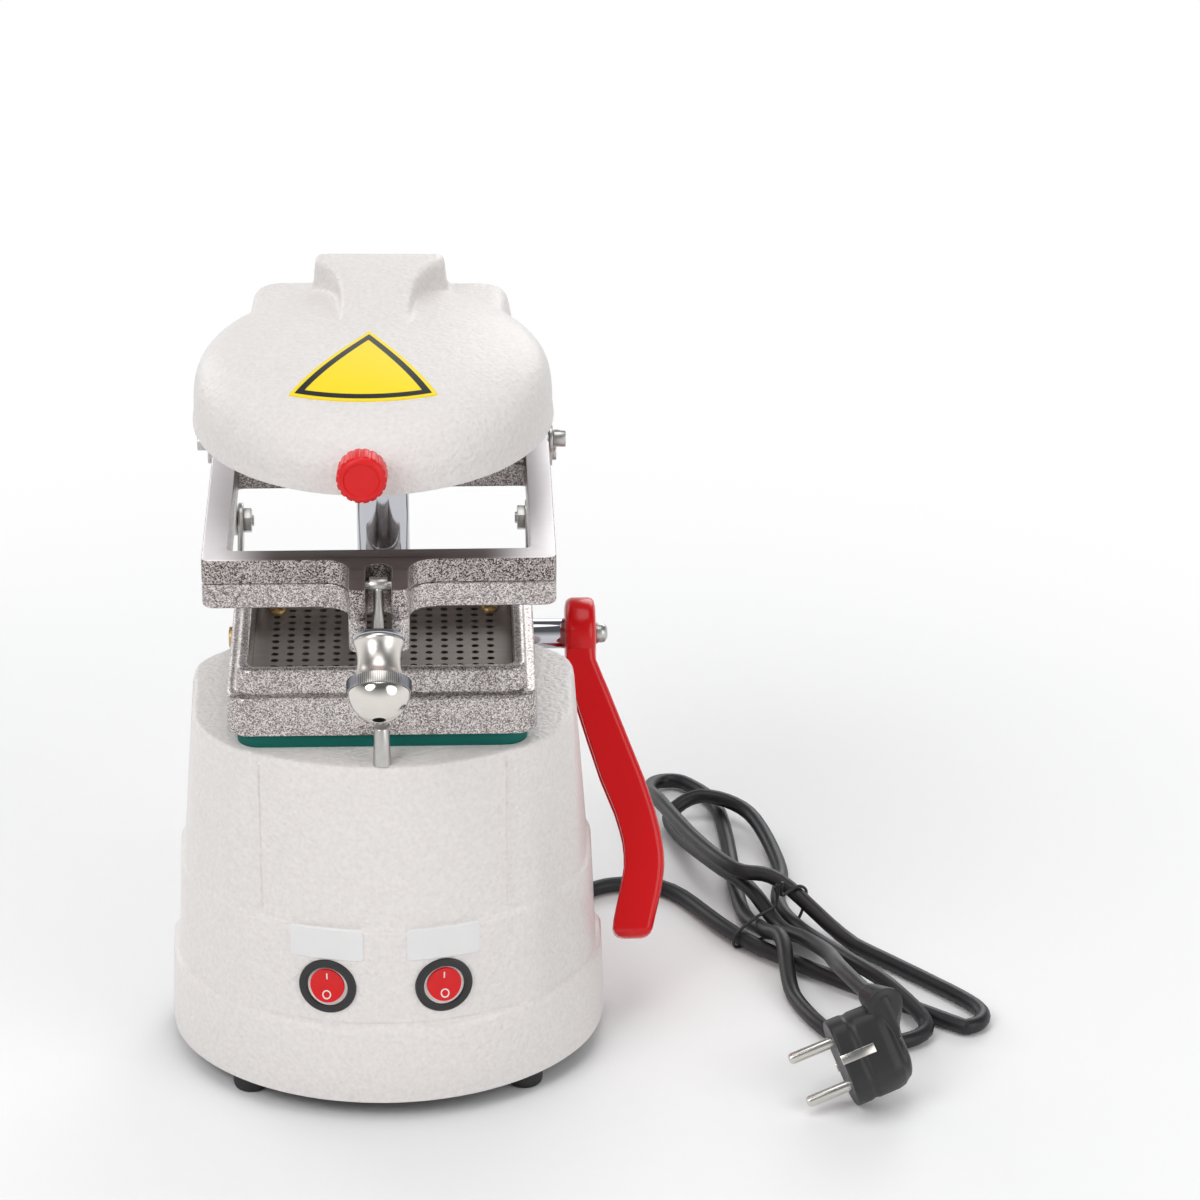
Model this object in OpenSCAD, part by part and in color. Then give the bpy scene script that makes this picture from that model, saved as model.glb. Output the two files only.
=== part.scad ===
// Dental vacuum former: a heater head on a column over a lever-driven sheet frame and a vacuum tray.
// Modules work in the column's frame: the column's axis is x = 0, y = 0 and the table is z = 0.
// The part's origin is on the table under the rear foot, so placed() moves every piece there.

/* [Casing] */
// Width of the skirt at the table
skirt_w = 188.2; // [180:0.2:200]
// Distance from the column's axis forward to the front of the skirt
skirt_front = 157.6; // [150:0.2:170]
// Height of the skirt above its lower edge
skirt_h = 34; // [28:1:40]
// Height of the middle tier
middle_h = 44; // [36:1:52]
// Height of the upper tier
upper_h = 71.2; // [65:0.2:80]
// Inward step from the skirt to the middle tier
skirt_step = 3.4; // [2:0.2:5]
// Inward step from the middle tier to the upper tier
upper_step = 1.9; // [1:0.1:3]
// Draft of the skirt and of the middle tier, inward over their height
tier_draft = 2.1; // [1:0.1:3]
// Draft of the upper tier, inward over its height
upper_draft = 5.4; // [3:0.1:7]
// Thickness of the cast wall
wall = 3.2; // [2.5:0.1:4]
// Rearmost line of the casing, behind the column's axis
casing_rear = 27; // [25:0.5:30]

/* [Feet] */
// Height of a rubber foot
foot_h = 8; // [6:0.5:12]
// Diameter of a rubber foot
foot_d = 15; // [12:0.5:18]
// Distance from the column's axis back to the rear foot
rear_foot_y = 15.5; // [14:0.5:17]
// Thickness of the base plate
plate_t = 2; // [1.5:0.1:3]

/* [Column] */
// Diameter of the column
column_d = 22.3; // [20:0.1:24]
// Height of the column's top above the deck
column_rise = 139.6; // [135:0.2:141]
// Depth of the column's socket below the deck
column_seat = 55; // [48:1:60]

/* [Lever shaft] */
// Diameter of the cross shaft
shaft_d = 13; // [11:0.1:14]
// Depth of the shaft's axis below the deck
shaft_drop = 8.9; // [8.4:0.1:10]
// Length of the lever from the shaft's axis to its tip
lever_len = 131; // [120:1:140]
// Angle of the lever forward from straight down, at rest
lever_lean = 30; // [26:1:34]
// Radius of the lever's hub
hub_r = 15.4; // [13:0.1:17]
// Length of a crank from the shaft's axis to its pin
crank_len = 55.7; // [54:0.1:57]
// Angle of a crank above straight back, at rest
crank_angle = 41.2; // [39:0.1:43]
// Thickness of a crank plate
crank_t = 2.2; // [1.6:0.1:2.4]
// Thickness of a link strap
link_t = 1.8; // [1.4:0.1:2]
// Diameter of a crank bolt
crank_bolt_d = 5; // [4:0.1:5.4]

/* [Sheet frames] */
// Outer width of both frames
frame_w = 140; // [138:0.5:144]
// Width of a frame's side bar
frame_bar = 10; // [8:0.5:10.6]
// Thickness of one frame
frame_t = 10.3; // [9:0.1:12]
// Distance from the column's axis forward to the frames' front edge
frame_front = 141.5; // [140:0.5:144]
// Travel of the carriage down onto the tray
travel = 42.5; // [41:0.1:43]
// Height of the carriage's guide block
block_h = 31; // [28:0.5:31.5]
// Width of the clamp lug at the front
lug_w = 23.7; // [21:0.1:26]
// Radius of the hollow fillets at the lugs' root
lug_fillet = 10.4; // [6:0.2:12]
// Width of the slot in the lug
lug_slot = 10.2; // [9:0.1:11]
// Reach of the upper lug ahead of the frames
lug_reach = 31; // [30:0.5:33]

/* [Latch] */
// Diameter of the swing bolt
bolt_d = 4.2; // [3.6:0.1:5]
// Diameter of the latch pin
latch_pin_d = 3; // [2.5:0.1:3.2]
// Angle of the swing bolt below level, at rest
bolt_dip = 44; // [42:1:46]
// Diameter of the ball on the knob
ball_d = 24.5; // [22:0.5:26]
// Diameter of the loose washer under the knob
washer_d = 20.6; // [19:0.1:21.5]

/* [Tray] */
// Width of the tray's upper tier
tray_w = 116.8; // [114:0.2:117.6]
// Depth of the tray's upper tier from front to back
tray_l = 112; // [110:0.5:113]
// Height of the gasket under the tray
gasket_h = 6.6; // [5:0.1:8]
// Height of the tray's lower tier
tray_low_h = 16.5; // [15:0.5:18]
// Height of the tray's upper tier
tray_up_h = 10.5; // [9:0.5:12]
// Distance between holes of the perforated plate
hole_pitch = 6.35; // [6:0.05:6.5]
// Holes along each side of the perforated plate
hole_count = 15; // [13:2:15]
// Diameter of a hole in the perforated plate
hole_d = 3; // [2.5:0.1:3.5]

/* [Head] */
// Half the width of the head's dome at its lip
dome_a = 72.5; // [70:0.5:75]
// Half the length of the head's dome at its lip
dome_b = 88; // [85:0.5:90]
// Height of the dome above its lip
dome_h = 32.5; // [30:0.5:36]
// Height of the head's lip above the deck
head_rise = 117.8; // [116:0.2:120]
// Thickness of the head's shell
shell = 2.6; // [2:0.1:3.4]
// Diameter of a heater rod
heater_d = 19.2; // [17:0.2:19.6]
// Diameter of the red knob on the head
head_knob_d = 21; // [18:0.5:24]
// Turn of the head about the column, at rest
head_turn = -2; // [-4:1:4]

/* [Switches] */
// Diameter of a switch bezel
bezel_d = 24; // [23:0.5:26]
// Diameter of a rocker
rocker_d = 14.4; // [12:0.1:14.6]
// Width of a label plate
label_w = 29.5; // [26:0.5:31]
// Height of a label plate
label_h = 14.5; // [12:0.5:15]

/* [Cord] */
// Diameter of the mains cord
cord_d = 6.8; // [6:0.1:6.9]
// Diameter of the tie wire
tie_d = 1.3; // [1:0.1:1.5]
// Diameter of a plug pin
pin_d = 4.8; // [4:0.1:5]
// Length of a plug pin
pin_len = 19; // [17:0.5:20]

/* [Clearances] */
// Radial gap of a running or sliding fit
run_gap = 0.05; // [0.02:0.01:0.1]
// Gap between flat faces that move past each other
face_gap = 0.3; // [0.2:0.05:0.4]
// Radial gap of the crank bolt in the link's open hole
link_gap = 2.35; // [2.1:0.05:2.6]

/* [Hidden] */
$fn = 64;
far = 400;

// Heights of the casing
skirt_z = foot_h + skirt_h;
upper_z = skirt_z + middle_h;
deck_z = upper_z + upper_h;
shaft_z = deck_z - shaft_drop;
cut_z = shaft_z - 13.5;
boss_top = deck_z - 0.8;
deck_rear = -9;
ear_out = frame_w / 2 - 9.6;
ear_in = ear_out - 5.7;
bar_front = 7.5;
bar_rear = 16;
bar_top = shaft_z - 2.3;
trough_z = shaft_z - shaft_d / 2 - 2.8;
boss_half = 23;
boss_rear = 24;
skirt_half = skirt_w / 2;
rear_half = 10;

// Places along the shaft
crank_in = ear_out + 0.5;
crank_out = crank_in + crank_t;
link_in = crank_out + 0.5;
link_out = link_in + link_t;
hub_in = 77.2;
hub_out = 90;
bolt_head_in = link_out + 0.5;
bolt_head_h = 3.1;
crank_nut_h = 3.5;
hex_d = 11.5;

// Heights of the tray and the frames
tray_z = deck_z + gasket_h;
ledge_z = tray_z + tray_low_h;
tray_top = ledge_z + tray_up_h;
tray_rear = -17.8;
tray_front = tray_rear - tray_l;
tray_step = 4;
tray_wall = 5;
plate_top = deck_z + 15.8;
frame_z = ledge_z + 0.2 + travel;
part_z = frame_z + frame_t;
frame_top = part_z + 0.2 + frame_t;
window_half = frame_w / 2 - frame_bar;
window_front = -frame_front + frame_bar;
window_rear = -16;
block_rear = 21.5;
wing_rear = block_rear - 3.2;
block_front = 5;
arm_rear = 3.8;
guide_r = column_d / 2 + 4.6;
block_flare = [[-1, 0], [19.3, 0], [18.5, 0.07], [17, 0.16], [14.5, 0.32], [11.8, 0.58], [8.9, 1], [-1, 1]];
detent_d = 6.4;
detent_y = column_d / 2;
detent_z = frame_z + block_h + 5.3;

// Crank, link and hinge points
crank_pin = [crank_len * cos(crank_angle), shaft_z + crank_len * sin(crank_angle)];
link_pin = [8.4, frame_z + 6.3];
hinge_pin = [-2.3, part_z + 5.9];
block_half = frame_w / 2 + face_gap;
hinge_plate_t = 1.5;
rivet_d = 5;

// Lug and latch
lug_part_z = frame_z + 7.3;
lug_bottom = frame_z - 6.7;
lug_front = -frame_front - lug_reach;
low_lug_front = lug_front + 2;
slot_end = -frame_front - 9.3;
pivot = [lug_front + 11.5, frame_top - 2.9];
washer_at = 22.2;
washer_t = 1.6;
knob_at = washer_at + washer_t + run_gap;
knob_waist_r = 7.2;
knurl_d = ball_d + 1;
knurl_w = 5;
knob_len = 33;
post_y = -frame_front - 5.5;
post_top = lug_bottom - travel - face_gap;

// Head
lip_z = deck_z + head_rise;
dome_y = -64;
box_half = 56.5;
box_top_half = 52;
box_rear = 22;
box_h = 27;
collar_r = 15.6;
sleeve_r = 13.5;
reflector_z = lip_z + 15;
reflector_t = 1.2;
heater_z = reflector_z - heater_d / 2 - 0.8;
heater_x = 30;
heater_front = -118;
heater_rear = -8;
head_knob_z = lip_z + 12;
head_knob_len = 14;
head_boss_front = dome_y - dome_b - 1;
head_posts = [for (x = [-1, 1]) each [[x * 42, -98, dome_h * 0.85], [x * 44, -26, box_h - 0.8]]];

// Base furniture
feet_at = [[-56.8, -125.4], [56.8, -125.4], [-56.5, -36.4], [56.5, -36.4], [0, rear_foot_y]];
skirt_centre = skirt_half - skirt_front;
boss_ring = skirt_half - wall - 4.4;
rear_boss = [24, casing_rear + rear_half - 24 - 1.4 * wall - 3];
plate_screws_at = [for (side = [-1, 1]) each [
    [side * boss_ring * cos(16), skirt_centre - boss_ring * sin(16)], [side * rear_boss.x, rear_boss.y]]];
tray_screws_at = [[-1, 1], [1, 1], [-1, -1], [1, -1]];
switch_z = foot_h + 51.5;
switch_x = 23.7;
label_z = foot_h + 63.5;
middle_front = -skirt_front + skirt_step;
front_centre = middle_front + skirt_half;
switch_turn = asin(switch_x / skirt_half);
rocker_pivot = 6;
rocker_tip = 12;
gland_at = 41.5;
gland_z = foot_h + 9.2;
gland_out = 8;
duct_y = -74;
duct_d = 26;
motor_d = 104;
motor_z = foot_h + plate_t + 18;
motor_h = 78;

// Cord, laid on the table in two loops and a longer one, tied at the waist
cord_out = [sqrt(0.5), sqrt(0.5), 0];
cord_start = [gland_at, casing_rear + rear_half - gland_at, gland_z] + gland_out * cord_out;
plug_end = [198.8, -129.1, 40.8];
sleeve_dir = [0.362, -0.925, 0.121];
cord_points = [cord_start, [60, 14, 13], [78, 33, 4], [100, 47, 3.6], [126, 40, 3.6], [161, -17, 4.8],
    [234, -82, 3.6], [247, -90, 3.6], [253, -79, 3.6], [242, -60, 3.6], [204, -15, 3.6], [173, 18, 19],
    [154, 26, 21], [138, 60, 19], [124, 108, 15], [120, 138, 7], [126, 153, 4], [139, 149, 4],
    [152, 118, 3.6], [156, 24, 3.6], [164, -9, 9], [171, -27, 13], [174, -62, 3.6], [190, -98, 3.6],
    [213, -104, 3.6], [228, -92, 5], [214, -68, 12], [198, -42, 11.5], [181, -2, 5.2], [173, 24, 5],
    [176, 62, 3.6], [165, 107, 9], [144, 121, 11.5], [129, 114, 6], [132, 96, 4], [146, 52, 11],
    [160, 24, 12.5], [172, -1, 6], [181, -22, 11], [188, -56, 22], [190, -96, 36], plug_end];
tie_at = [169, 2, 0];
tie_across = [0.8, 0.6, 0];
tie_points = [[5, 25], [4.6, 18.7], [9.5, 19.2], [14.5, 20], [18.8, 17], [18.8, 12], [15.6, 4.6], [11.2, 0.7],
    [-2, 0.7], [-17.5, 0.7], [-22.4, 2.3], [-22, 7], [-17, 10], [-9, 12.6], [0, 14], [2.2, 18.7],
    [0.5, 24]];
plug_face = [186.4, -147.8, 18.2];
plug_turn = [62, -50, 124.7];
plug_r = 18.8;
plug_half = 14;
plug_depth = 24;
pin_row = 9.5;

module placed() { translate([0, -rear_foot_y, 0]) children(); }

module across(x0, x1, d) {
    translate([x0, 0, 0]) rotate([0, 90, 0]) cylinder(h = x1 - x0, d = d);
}

module along_y(y0, y1, d) {
    translate([0, y1, 0]) rotate([90, 0, 0]) cylinder(h = y1 - y0, d = d);
}

module mirrored() {
    children();
    mirror([1, 0, 0]) children();
}

module rounded(x0, x1, y0, y1, r) {
    translate([x0 + r, y0]) square([x1 - x0 - 2 * r, y1 - y0]);
    translate([x0, y0 + r]) square([x1 - x0, y1 - y0 - 2 * r]);
    for (x = [x0 + r, x1 - r], y = [y0 + r, y1 - r]) translate([x, y]) circle(r);
}

module slab(x0, x1, y0, y1, z0, z1, r) {
    translate([0, 0, z0]) linear_extrude(z1 - z0) rounded(x0, x1, y0, y1, r);
}

module box(x0, x1, y0, y1, z0, z1) {
    translate([x0, y0, z0]) cube([x1 - x0, y1 - y0, z1 - z0]);
}

module strap(a, b, r, hole_a, hole_b) {
    run = b - a;
    difference() {
        union() {
            translate(a) circle(r);
            translate(b) circle(r);
            translate(a) rotate(atan2(run.y, run.x)) translate([0, 0.02 - r]) square([norm(run), 2 * r - 0.04]);
        }
        translate(a) circle(hole_a);
        translate(b) circle(hole_b);
    }
}

// Turns an outline drawn in y and z into a plate that starts at x and is t thick
module upright(x, t) { translate([x, 0, 0]) rotate([90, 0, 90]) linear_extrude(t) children(); }

// Casing
module tier_plan(half, front, rear, front_r) {
    reach = rear_half + rear + far;
    intersection() {
        union() {
            translate([0, front + front_r]) circle(front_r, $fn = 96);
            translate([-front_r, front + front_r]) square([2 * front_r, far]);
        }
        translate([-half, -far]) square([2 * half, 2 * far]);
        polygon([[rear_half, rear], [reach, -far], [-reach, -far], [-rear_half, rear]]);
    }
}

module inset_plan(inward, front, rear_in, inset) {
    tier_plan(skirt_half - inward - inset, front + inset - skirt_front, casing_rear - rear_in - 1.4 * inset,
        skirt_half - inset);
}

module tier_slice(z, inward, front, rear_in, inset = 0) {
    translate([0, 0, z]) linear_extrude(0.01) inset_plan(inward, front, rear_in, inset);
}

module casing_tiers() {
    middle_in = skirt_step + tier_draft;
    upper_in = middle_in + tier_draft + upper_step;
    hull() {
        tier_slice(foot_h, 0, 0, 0);
        tier_slice(skirt_z - 0.01, tier_draft, 1, 0.6);
    }
    hull() {
        tier_slice(skirt_z - 0.02, middle_in, skirt_step, 0.6);
        tier_slice(upper_z - 0.01, middle_in + tier_draft, skirt_step + 1, 1.4);
    }
    hull() {
        tier_slice(upper_z - 0.02, upper_in, skirt_step + upper_step, 1.4);
        tier_slice(deck_z - 0.01, upper_in + upper_draft, skirt_step + upper_step + 1.6, 2.6);
    }
}

module casing_cavity() {
    middle_in = skirt_step + 2 * tier_draft;
    upper_in = middle_in + upper_step;
    difference() {
        union() {
            hull() {
                tier_slice(foot_h - 1, 0, 0, 0, wall);
                tier_slice(skirt_z - wall, tier_draft, 1, 0.6, wall);
            }
            hull() {
                tier_slice(skirt_z - wall - 0.1, middle_in, 4.4, 0.6, wall);
                tier_slice(deck_z - 4, upper_in + upper_draft, 7, 2.6, wall);
            }
        }
        box(-far, far, deck_rear - 4, far, cut_z - 4, far);
        translate([0, 0, deck_z - column_seat - 4]) cylinder(h = far, d = column_d + 12);
        box(-12, 12, 0, far, deck_z - column_seat - 4, far);
    }
}

module casing() {
    color([0.87, 0.85, 0.82]) difference() {
        union() {
            difference() {
                casing_tiers();
                casing_cavity();
                box(-far, far, deck_rear, far, cut_z, far);
            }
            box(-ear_out, ear_out, deck_rear - 1, bar_rear, cut_z - 1, trough_z);
            box(-ear_out, ear_out, bar_front, bar_rear, cut_z - 1, bar_top);
            box(-boss_half, boss_half, deck_rear - 1, boss_rear, cut_z - 1, boss_top);
            hull() {
                box(-boss_half, boss_half, 4, boss_rear, cut_z - 1, cut_z);
                box(-rear_half, rear_half, 4, boss_rear, cut_z - 24, cut_z - 23);
            }
            mirrored() box(ear_in, ear_out, tray_rear + 1 + face_gap, bar_front + 0.5, cut_z - 1, deck_z + 1.4);
            for (p = plate_screws_at) translate([p.x, p.y, foot_h + plate_t]) cylinder(h = 28, d = 9);
        }
        translate([0, 0, deck_z - column_seat]) cylinder(h = far, r = column_d / 2 + run_gap);
        translate([0, 0, shaft_z]) across(-far, far, shaft_d + 2 * run_gap);
        translate([0, duct_y, deck_z - 20]) cylinder(h = 40, d = duct_d);
        for (p = plate_screws_at) translate([p.x, p.y, 0]) cylinder(h = foot_h + plate_t + 20, d = 3.4);
        mirrored() switch_place() {
            along_y(-far / 4, 40, bezel_d - 3.4);
            along_y(-far / 4, 1, bezel_d + 0.2);
        }
        mirrored() label_place() box(-label_w / 2 - 0.1, label_w / 2 + 0.1, -20, 0.9, -0.1, label_h + 0.1);
        rating_place() box(-35.1, 35.1, -0.6, 30, -18.1, 18.1);
        gland_place() box(-5.1, 5.1, -20, 20, -5.1, 5.1);
        translate([-gland_at, 0, 0]) arch();
        translate([0, post_y, deck_z - 12]) cylinder(h = 20, d = 4);
    }
}

module arch() {
    box(-4, 4, -30, 20, foot_h - 1, foot_h + 8.5);
    translate([0, 0, foot_h + 8.5]) along_y(-30, 20, 8);
}

// Each place is on the casing's surface with +Y pointing inward, or outward at the rear
module switch_place() {
    translate([0, front_centre, switch_z]) rotate([0, 0, -switch_turn])
        translate([0, -skirt_half + 0.4, 0]) children();
}

module label_place() {
    translate([0, front_centre, label_z]) rotate([0, 0, -switch_turn])
        translate([0, -skirt_half + 0.6, 0]) children();
}

module rear_place(x, z) {
    translate([x, casing_rear - x + rear_half, z]) rotate([0, 0, -45]) children();
}

module rating_place() { rear_place(37.5, foot_h + 48) translate([0, -0.8, 0]) children(); }

module gland_place() { rear_place(gland_at, gland_z) children(); }

module base_plate() {
    color([0.2, 0.2, 0.2]) difference() {
        translate([0, 0, foot_h]) linear_extrude(plate_t) inset_plan(0, 0, 0, wall + 0.4);
        for (p = plate_screws_at) translate([p.x, p.y, 0]) cylinder(h = 40, d = 3.8);
        for (p = feet_at) translate([p.x, p.y, 0]) cylinder(h = 40, d = 4.2);
        translate([-gland_at, 0, 0]) arch();
        for (a = [-40:16:40]) translate([a, -70, 0]) slab(-3, 3, -30, 30, 0, far, 2.9);
    }
}

module screw(head_d, head_h, shank_d, shank_l) {
    translate([0, 0, -head_h]) difference() {
        cylinder(h = head_h, d = head_d);
        translate([0, 0, -1]) cylinder(h = 1 + head_h * 0.6, d = head_d * 0.45, $fn = 6);
    }
    cylinder(h = shank_l, d = shank_d);
}

module base_screws() {
    color("silver") for (p = plate_screws_at) translate([p.x, p.y, foot_h]) screw(7, 2.2, 3.3, 14);
}

module feet() {
    color([0.08, 0.08, 0.08]) for (p = feet_at) translate([p.x, p.y, 0]) difference() {
        union() {
            cylinder(h = 1.5, d1 = foot_d - 2, d2 = foot_d);
            translate([0, 0, 1.5]) cylinder(h = foot_h - 1.5, d = foot_d);
        }
        translate([0, 0, 2]) cylinder(h = far, d = 4.2);
    }
}

module foot_screws() {
    color("silver") for (p = feet_at) translate([p.x, p.y, foot_h + plate_t]) mirror([0, 0, 1])
        screw(7.6, 2.2, 4, foot_h + plate_t - 2.3);
}

// Column and what stands on the deck
module column() {
    color([0.85, 0.86, 0.88]) difference() {
        translate([0, 0, deck_z - column_seat]) cylinder(h = column_seat + column_rise, d = column_d);
        translate([0, 0, deck_z + 8]) cylinder(h = far, d = 10);
        translate([0, 0, shaft_z]) across(-far, far, shaft_d + 2 * run_gap);
        translate([0, 0, detent_z]) along_y(detent_y - detent_d / 2 - 0.1, far, detent_d + 0.2);
        translate([0, 0, deck_z + 13]) along_y(-20, 0, 6);
    }
}

module detent_ball() {
    color("silver") translate([0, detent_y, detent_z]) sphere(d = detent_d);
}

module front_post() {
    color([0.8, 0.8, 0.78]) translate([0, post_y, deck_z]) {
        cylinder(h = post_top - deck_z, d1 = 7.4, d2 = 5.9);
        translate([0, 0, -11]) cylinder(h = 11, d = 3.9);
    }
}

module gasket() {
    in = tray_w / 2 + 0.1;
    color([0.05, 0.42, 0.33]) difference() {
        slab(-in, in, tray_front - 1, tray_rear + 1, deck_z, tray_z, 9);
        translate([0, duct_y, 0]) cylinder(h = far, d = duct_d + 4);
    }
}

module vacuum_tray() {
    low_half = tray_w / 2 + tray_step;
    low_front = tray_front - tray_step;
    low_rear = tray_rear + tray_step;
    in_half = tray_w / 2 - tray_wall;
    floor_z = tray_z + 3;
    color([0.74, 0.72, 0.69]) {
        difference() {
            union() {
                slab(-low_half, low_half, low_front, low_rear, tray_z, ledge_z, 9);
                slab(-tray_w / 2, tray_w / 2, tray_front, tray_rear, ledge_z - 1, tray_top, 7);
            }
            slab(-in_half, in_half, tray_front + tray_wall, tray_rear - tray_wall, floor_z, far, 4);
            translate([0, duct_y, 0]) cylinder(h = far, d = duct_d);
        }
        difference() {
            for (p = tray_screws_at) tray_corner(p) cylinder(h = plate_top - 1.5 - tray_z, d = 9);
            for (p = tray_screws_at) tray_corner(p) cylinder(h = far, d = 3.2);
        }
    }
}

module tray_corner(p) {
    half_grid = hole_pitch * (hole_count - 1) / 2;
    translate([p.x * half_grid, tray_front + tray_l / 2 + p.y * half_grid, tray_z]) children();
}

module perforated_plate() {
    in_half = tray_w / 2 - tray_wall - 0.2;
    last = hole_count - 1;
    color([0.55, 0.52, 0.46]) difference() {
        slab(-in_half, in_half, tray_front + tray_wall + 0.2, tray_rear - tray_wall - 0.2,
            plate_top - 1.5, plate_top, 3.8);
        for (i = [0:last], j = [0:last]) {
            corner = (i == 0 || i == last) && (j == 0 || j == last);
            translate([(i - last / 2) * hole_pitch, tray_front + tray_l / 2 + (j - last / 2) * hole_pitch, 0])
                translate([0, 0, plate_top - 5]) cylinder(h = 10, d = corner ? 3.3 : hole_d, $fn = 16);
        }
    }
}

module tray_screws() {
    color([0.72, 0.58, 0.32]) for (p = tray_screws_at) tray_corner(p)
        translate([0, 0, plate_top - tray_z]) mirror([0, 0, 1]) screw(7, 2, 3.1, 5);
}

// Switches, plates and cord gland
module bezel() {
    inner = bezel_d - 3.8;
    color([0.06, 0.06, 0.06]) switch_place() difference() {
        union() {
            along_y(-1.5, 1, bezel_d);
            along_y(0, 16, inner);
        }
        along_y(-5, 11, rocker_d + 2.2);
        translate([0, rocker_pivot, 0]) across(-rocker_d / 2 - 2.1, rocker_d / 2 + 2.1, 1.6 + 2 * run_gap);
    }
}

module bezel_left() { bezel(); }

module bezel_right() { mirror([1, 0, 0]) bezel(); }

module rocker() {
    color([0.75, 0.05, 0.04]) switch_place() translate([0, rocker_pivot, 0]) rotate([-rocker_tip / 2, 0, 0]) {
        difference() {
            along_y(-rocker_pivot - 2.6, 1, rocker_d);
            translate([0, -rocker_pivot - 21, 0]) across(-rocker_d, rocker_d, 40);
        }
        across(-rocker_d / 2 - 2, rocker_d / 2 + 2, 1.6);
    }
}

module rocker_left() { rocker(); }

module rocker_right() { mirror([1, 0, 0]) rocker(); }

module label_plates() {
    color([0.92, 0.92, 0.9]) mirrored() label_place() box(-label_w / 2, label_w / 2, 0.2, 0.9, 0, label_h);
}

module rating_plate() {
    color([0.05, 0.05, 0.05]) rating_place() rotate([90, 0, 0]) translate([0, 0, -0.4])
        linear_extrude(1) rounded(-35, 35, -18, 18, 3);
}

module cord_gland() {
    color([0.06, 0.06, 0.06]) gland_place() difference() {
        union() {
            box(-6.2, 6.2, 0, gland_out, -7, 7);
            box(-5, 5, -wall * 1.3, 0.5, -5, 5);
            box(-6.2, 6.2, -wall - 5, -wall - 0.4, -6, 7);
        }
        along_y(-20, gland_out - 4, cord_d + 0.6);
    }
}

// Inside the casing
module vacuum_motor() {
    color([0.3, 0.3, 0.32]) translate([0, duct_y, motor_z]) difference() {
        union() {
            cylinder(h = motor_h * 0.55, d = motor_d * 0.72);
            translate([0, 0, motor_h * 0.45]) cylinder(h = motor_h * 0.4, d = motor_d);
            translate([0, 0, motor_h * 0.85]) cylinder(h = motor_h * 0.15, d = 34);
        }
        translate([0, 0, motor_h * 0.6]) cylinder(h = far, d = 22);
    }
}

module motor_mount() {
    shelf = motor_z + motor_h * 0.45;
    color([0.5, 0.5, 0.5]) translate([0, duct_y, 0]) {
        difference() {
            translate([0, 0, shelf - 3]) cylinder(h = 3, d = motor_d);
            translate([0, 0, shelf - 5]) cylinder(h = 9, d = motor_d * 0.72 + 1);
        }
        for (a = [30:120:270]) rotate(a) translate([motor_d / 2 - 6, 0, foot_h + plate_t])
            cylinder(h = shelf - 2 - foot_h - plate_t, d = 9);
    }
}

module suction_duct() {
    low = motor_z + motor_h;
    color([0.1, 0.1, 0.1]) translate([0, duct_y, low]) difference() {
        cylinder(h = deck_z - 4 - low, d = 34);
        translate([0, 0, -1]) cylinder(h = far, d = 24);
    }
}

module terminal_block() {
    color([0.85, 0.85, 0.8]) box(-20, 12, -12, 2, foot_h + plate_t, foot_h + plate_t + 14);
}

// Shaft, cranks and lever
module cross_shaft() {
    color([0.85, 0.86, 0.88]) translate([0, 0, shaft_z]) difference() {
        across(-crank_out - 1, hub_out - 2, shaft_d);
        across(-crank_out - 9, -crank_out + 9, 4);
        across(hub_out - 14, hub_out + 9, 4);
    }
}

module shaft_end_screw() {
    start = -crank_out - 1;
    color([0.7, 0.6, 0.4]) translate([0, 0, shaft_z]) {
        across(start - 2.6, start, 9);
        across(start, start + 9, 3.9);
    }
}

module crank() {
    color([0.7, 0.7, 0.72]) upright(crank_in, crank_t)
        strap([0, shaft_z], crank_pin, 7.7, shaft_d / 2 + 0.01, crank_bolt_d / 2 + 0.05);
}

module crank_left() { mirror([1, 0, 0]) crank(); }

module crank_right() { crank(); }

module crank_bolts() {
    color([0.5, 0.5, 0.52]) mirrored() translate([0, crank_pin.x, crank_pin.y]) {
        across(crank_in - crank_nut_h - 1, bolt_head_in + 0.5, crank_bolt_d);
        translate([bolt_head_in, 0, 0]) rotate([0, 90, 0]) cylinder(h = bolt_head_h, d = hex_d, $fn = 6);
    }
}

module crank_nuts() {
    color([0.5, 0.5, 0.52]) mirrored() translate([crank_in - crank_nut_h, crank_pin.x, crank_pin.y])
        rotate([0, 90, 0]) difference() {
            cylinder(h = crank_nut_h, d = hex_d, $fn = 6);
            translate([0, 0, -1]) cylinder(h = 9, d = crank_bolt_d + 0.1);
        }
}

// Outline of the lever seen from the front, in x and in distance along it from the shaft's axis
function lever_back() = [for (p = [[6, 0.215], [20, 0.49], [24.8, 0.61], [27.2, 0.69], [27.8, 0.76],
    [26.4, 0.85], [22, 0.965]]) [hub_out + p.x, -p.y * lever_len]];

function lever_outline() = concat(
    [[hub_in, hub_r], [hub_out, hub_r], [hub_out, -0.095 * lever_len]], lever_back(),
    [for (p = [[32.5, 1], [21.5, 1], [18.8, 0.975], [21.6, 0.845], [23.8, 0.76], [23.4, 0.69], [20, 0.59],
    [14, 0.48], [0, 0.095]]) [hub_in + p.x, -p.y * lever_len]]);

module lever_side(inset) {
    polygon(concat([for (a = [-10:10:190]) (hub_r - inset) * [cos(a), sin(a)]],
        [[-9 + inset, -lever_len + inset], [9 - inset, -lever_len + inset]]));
}

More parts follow.
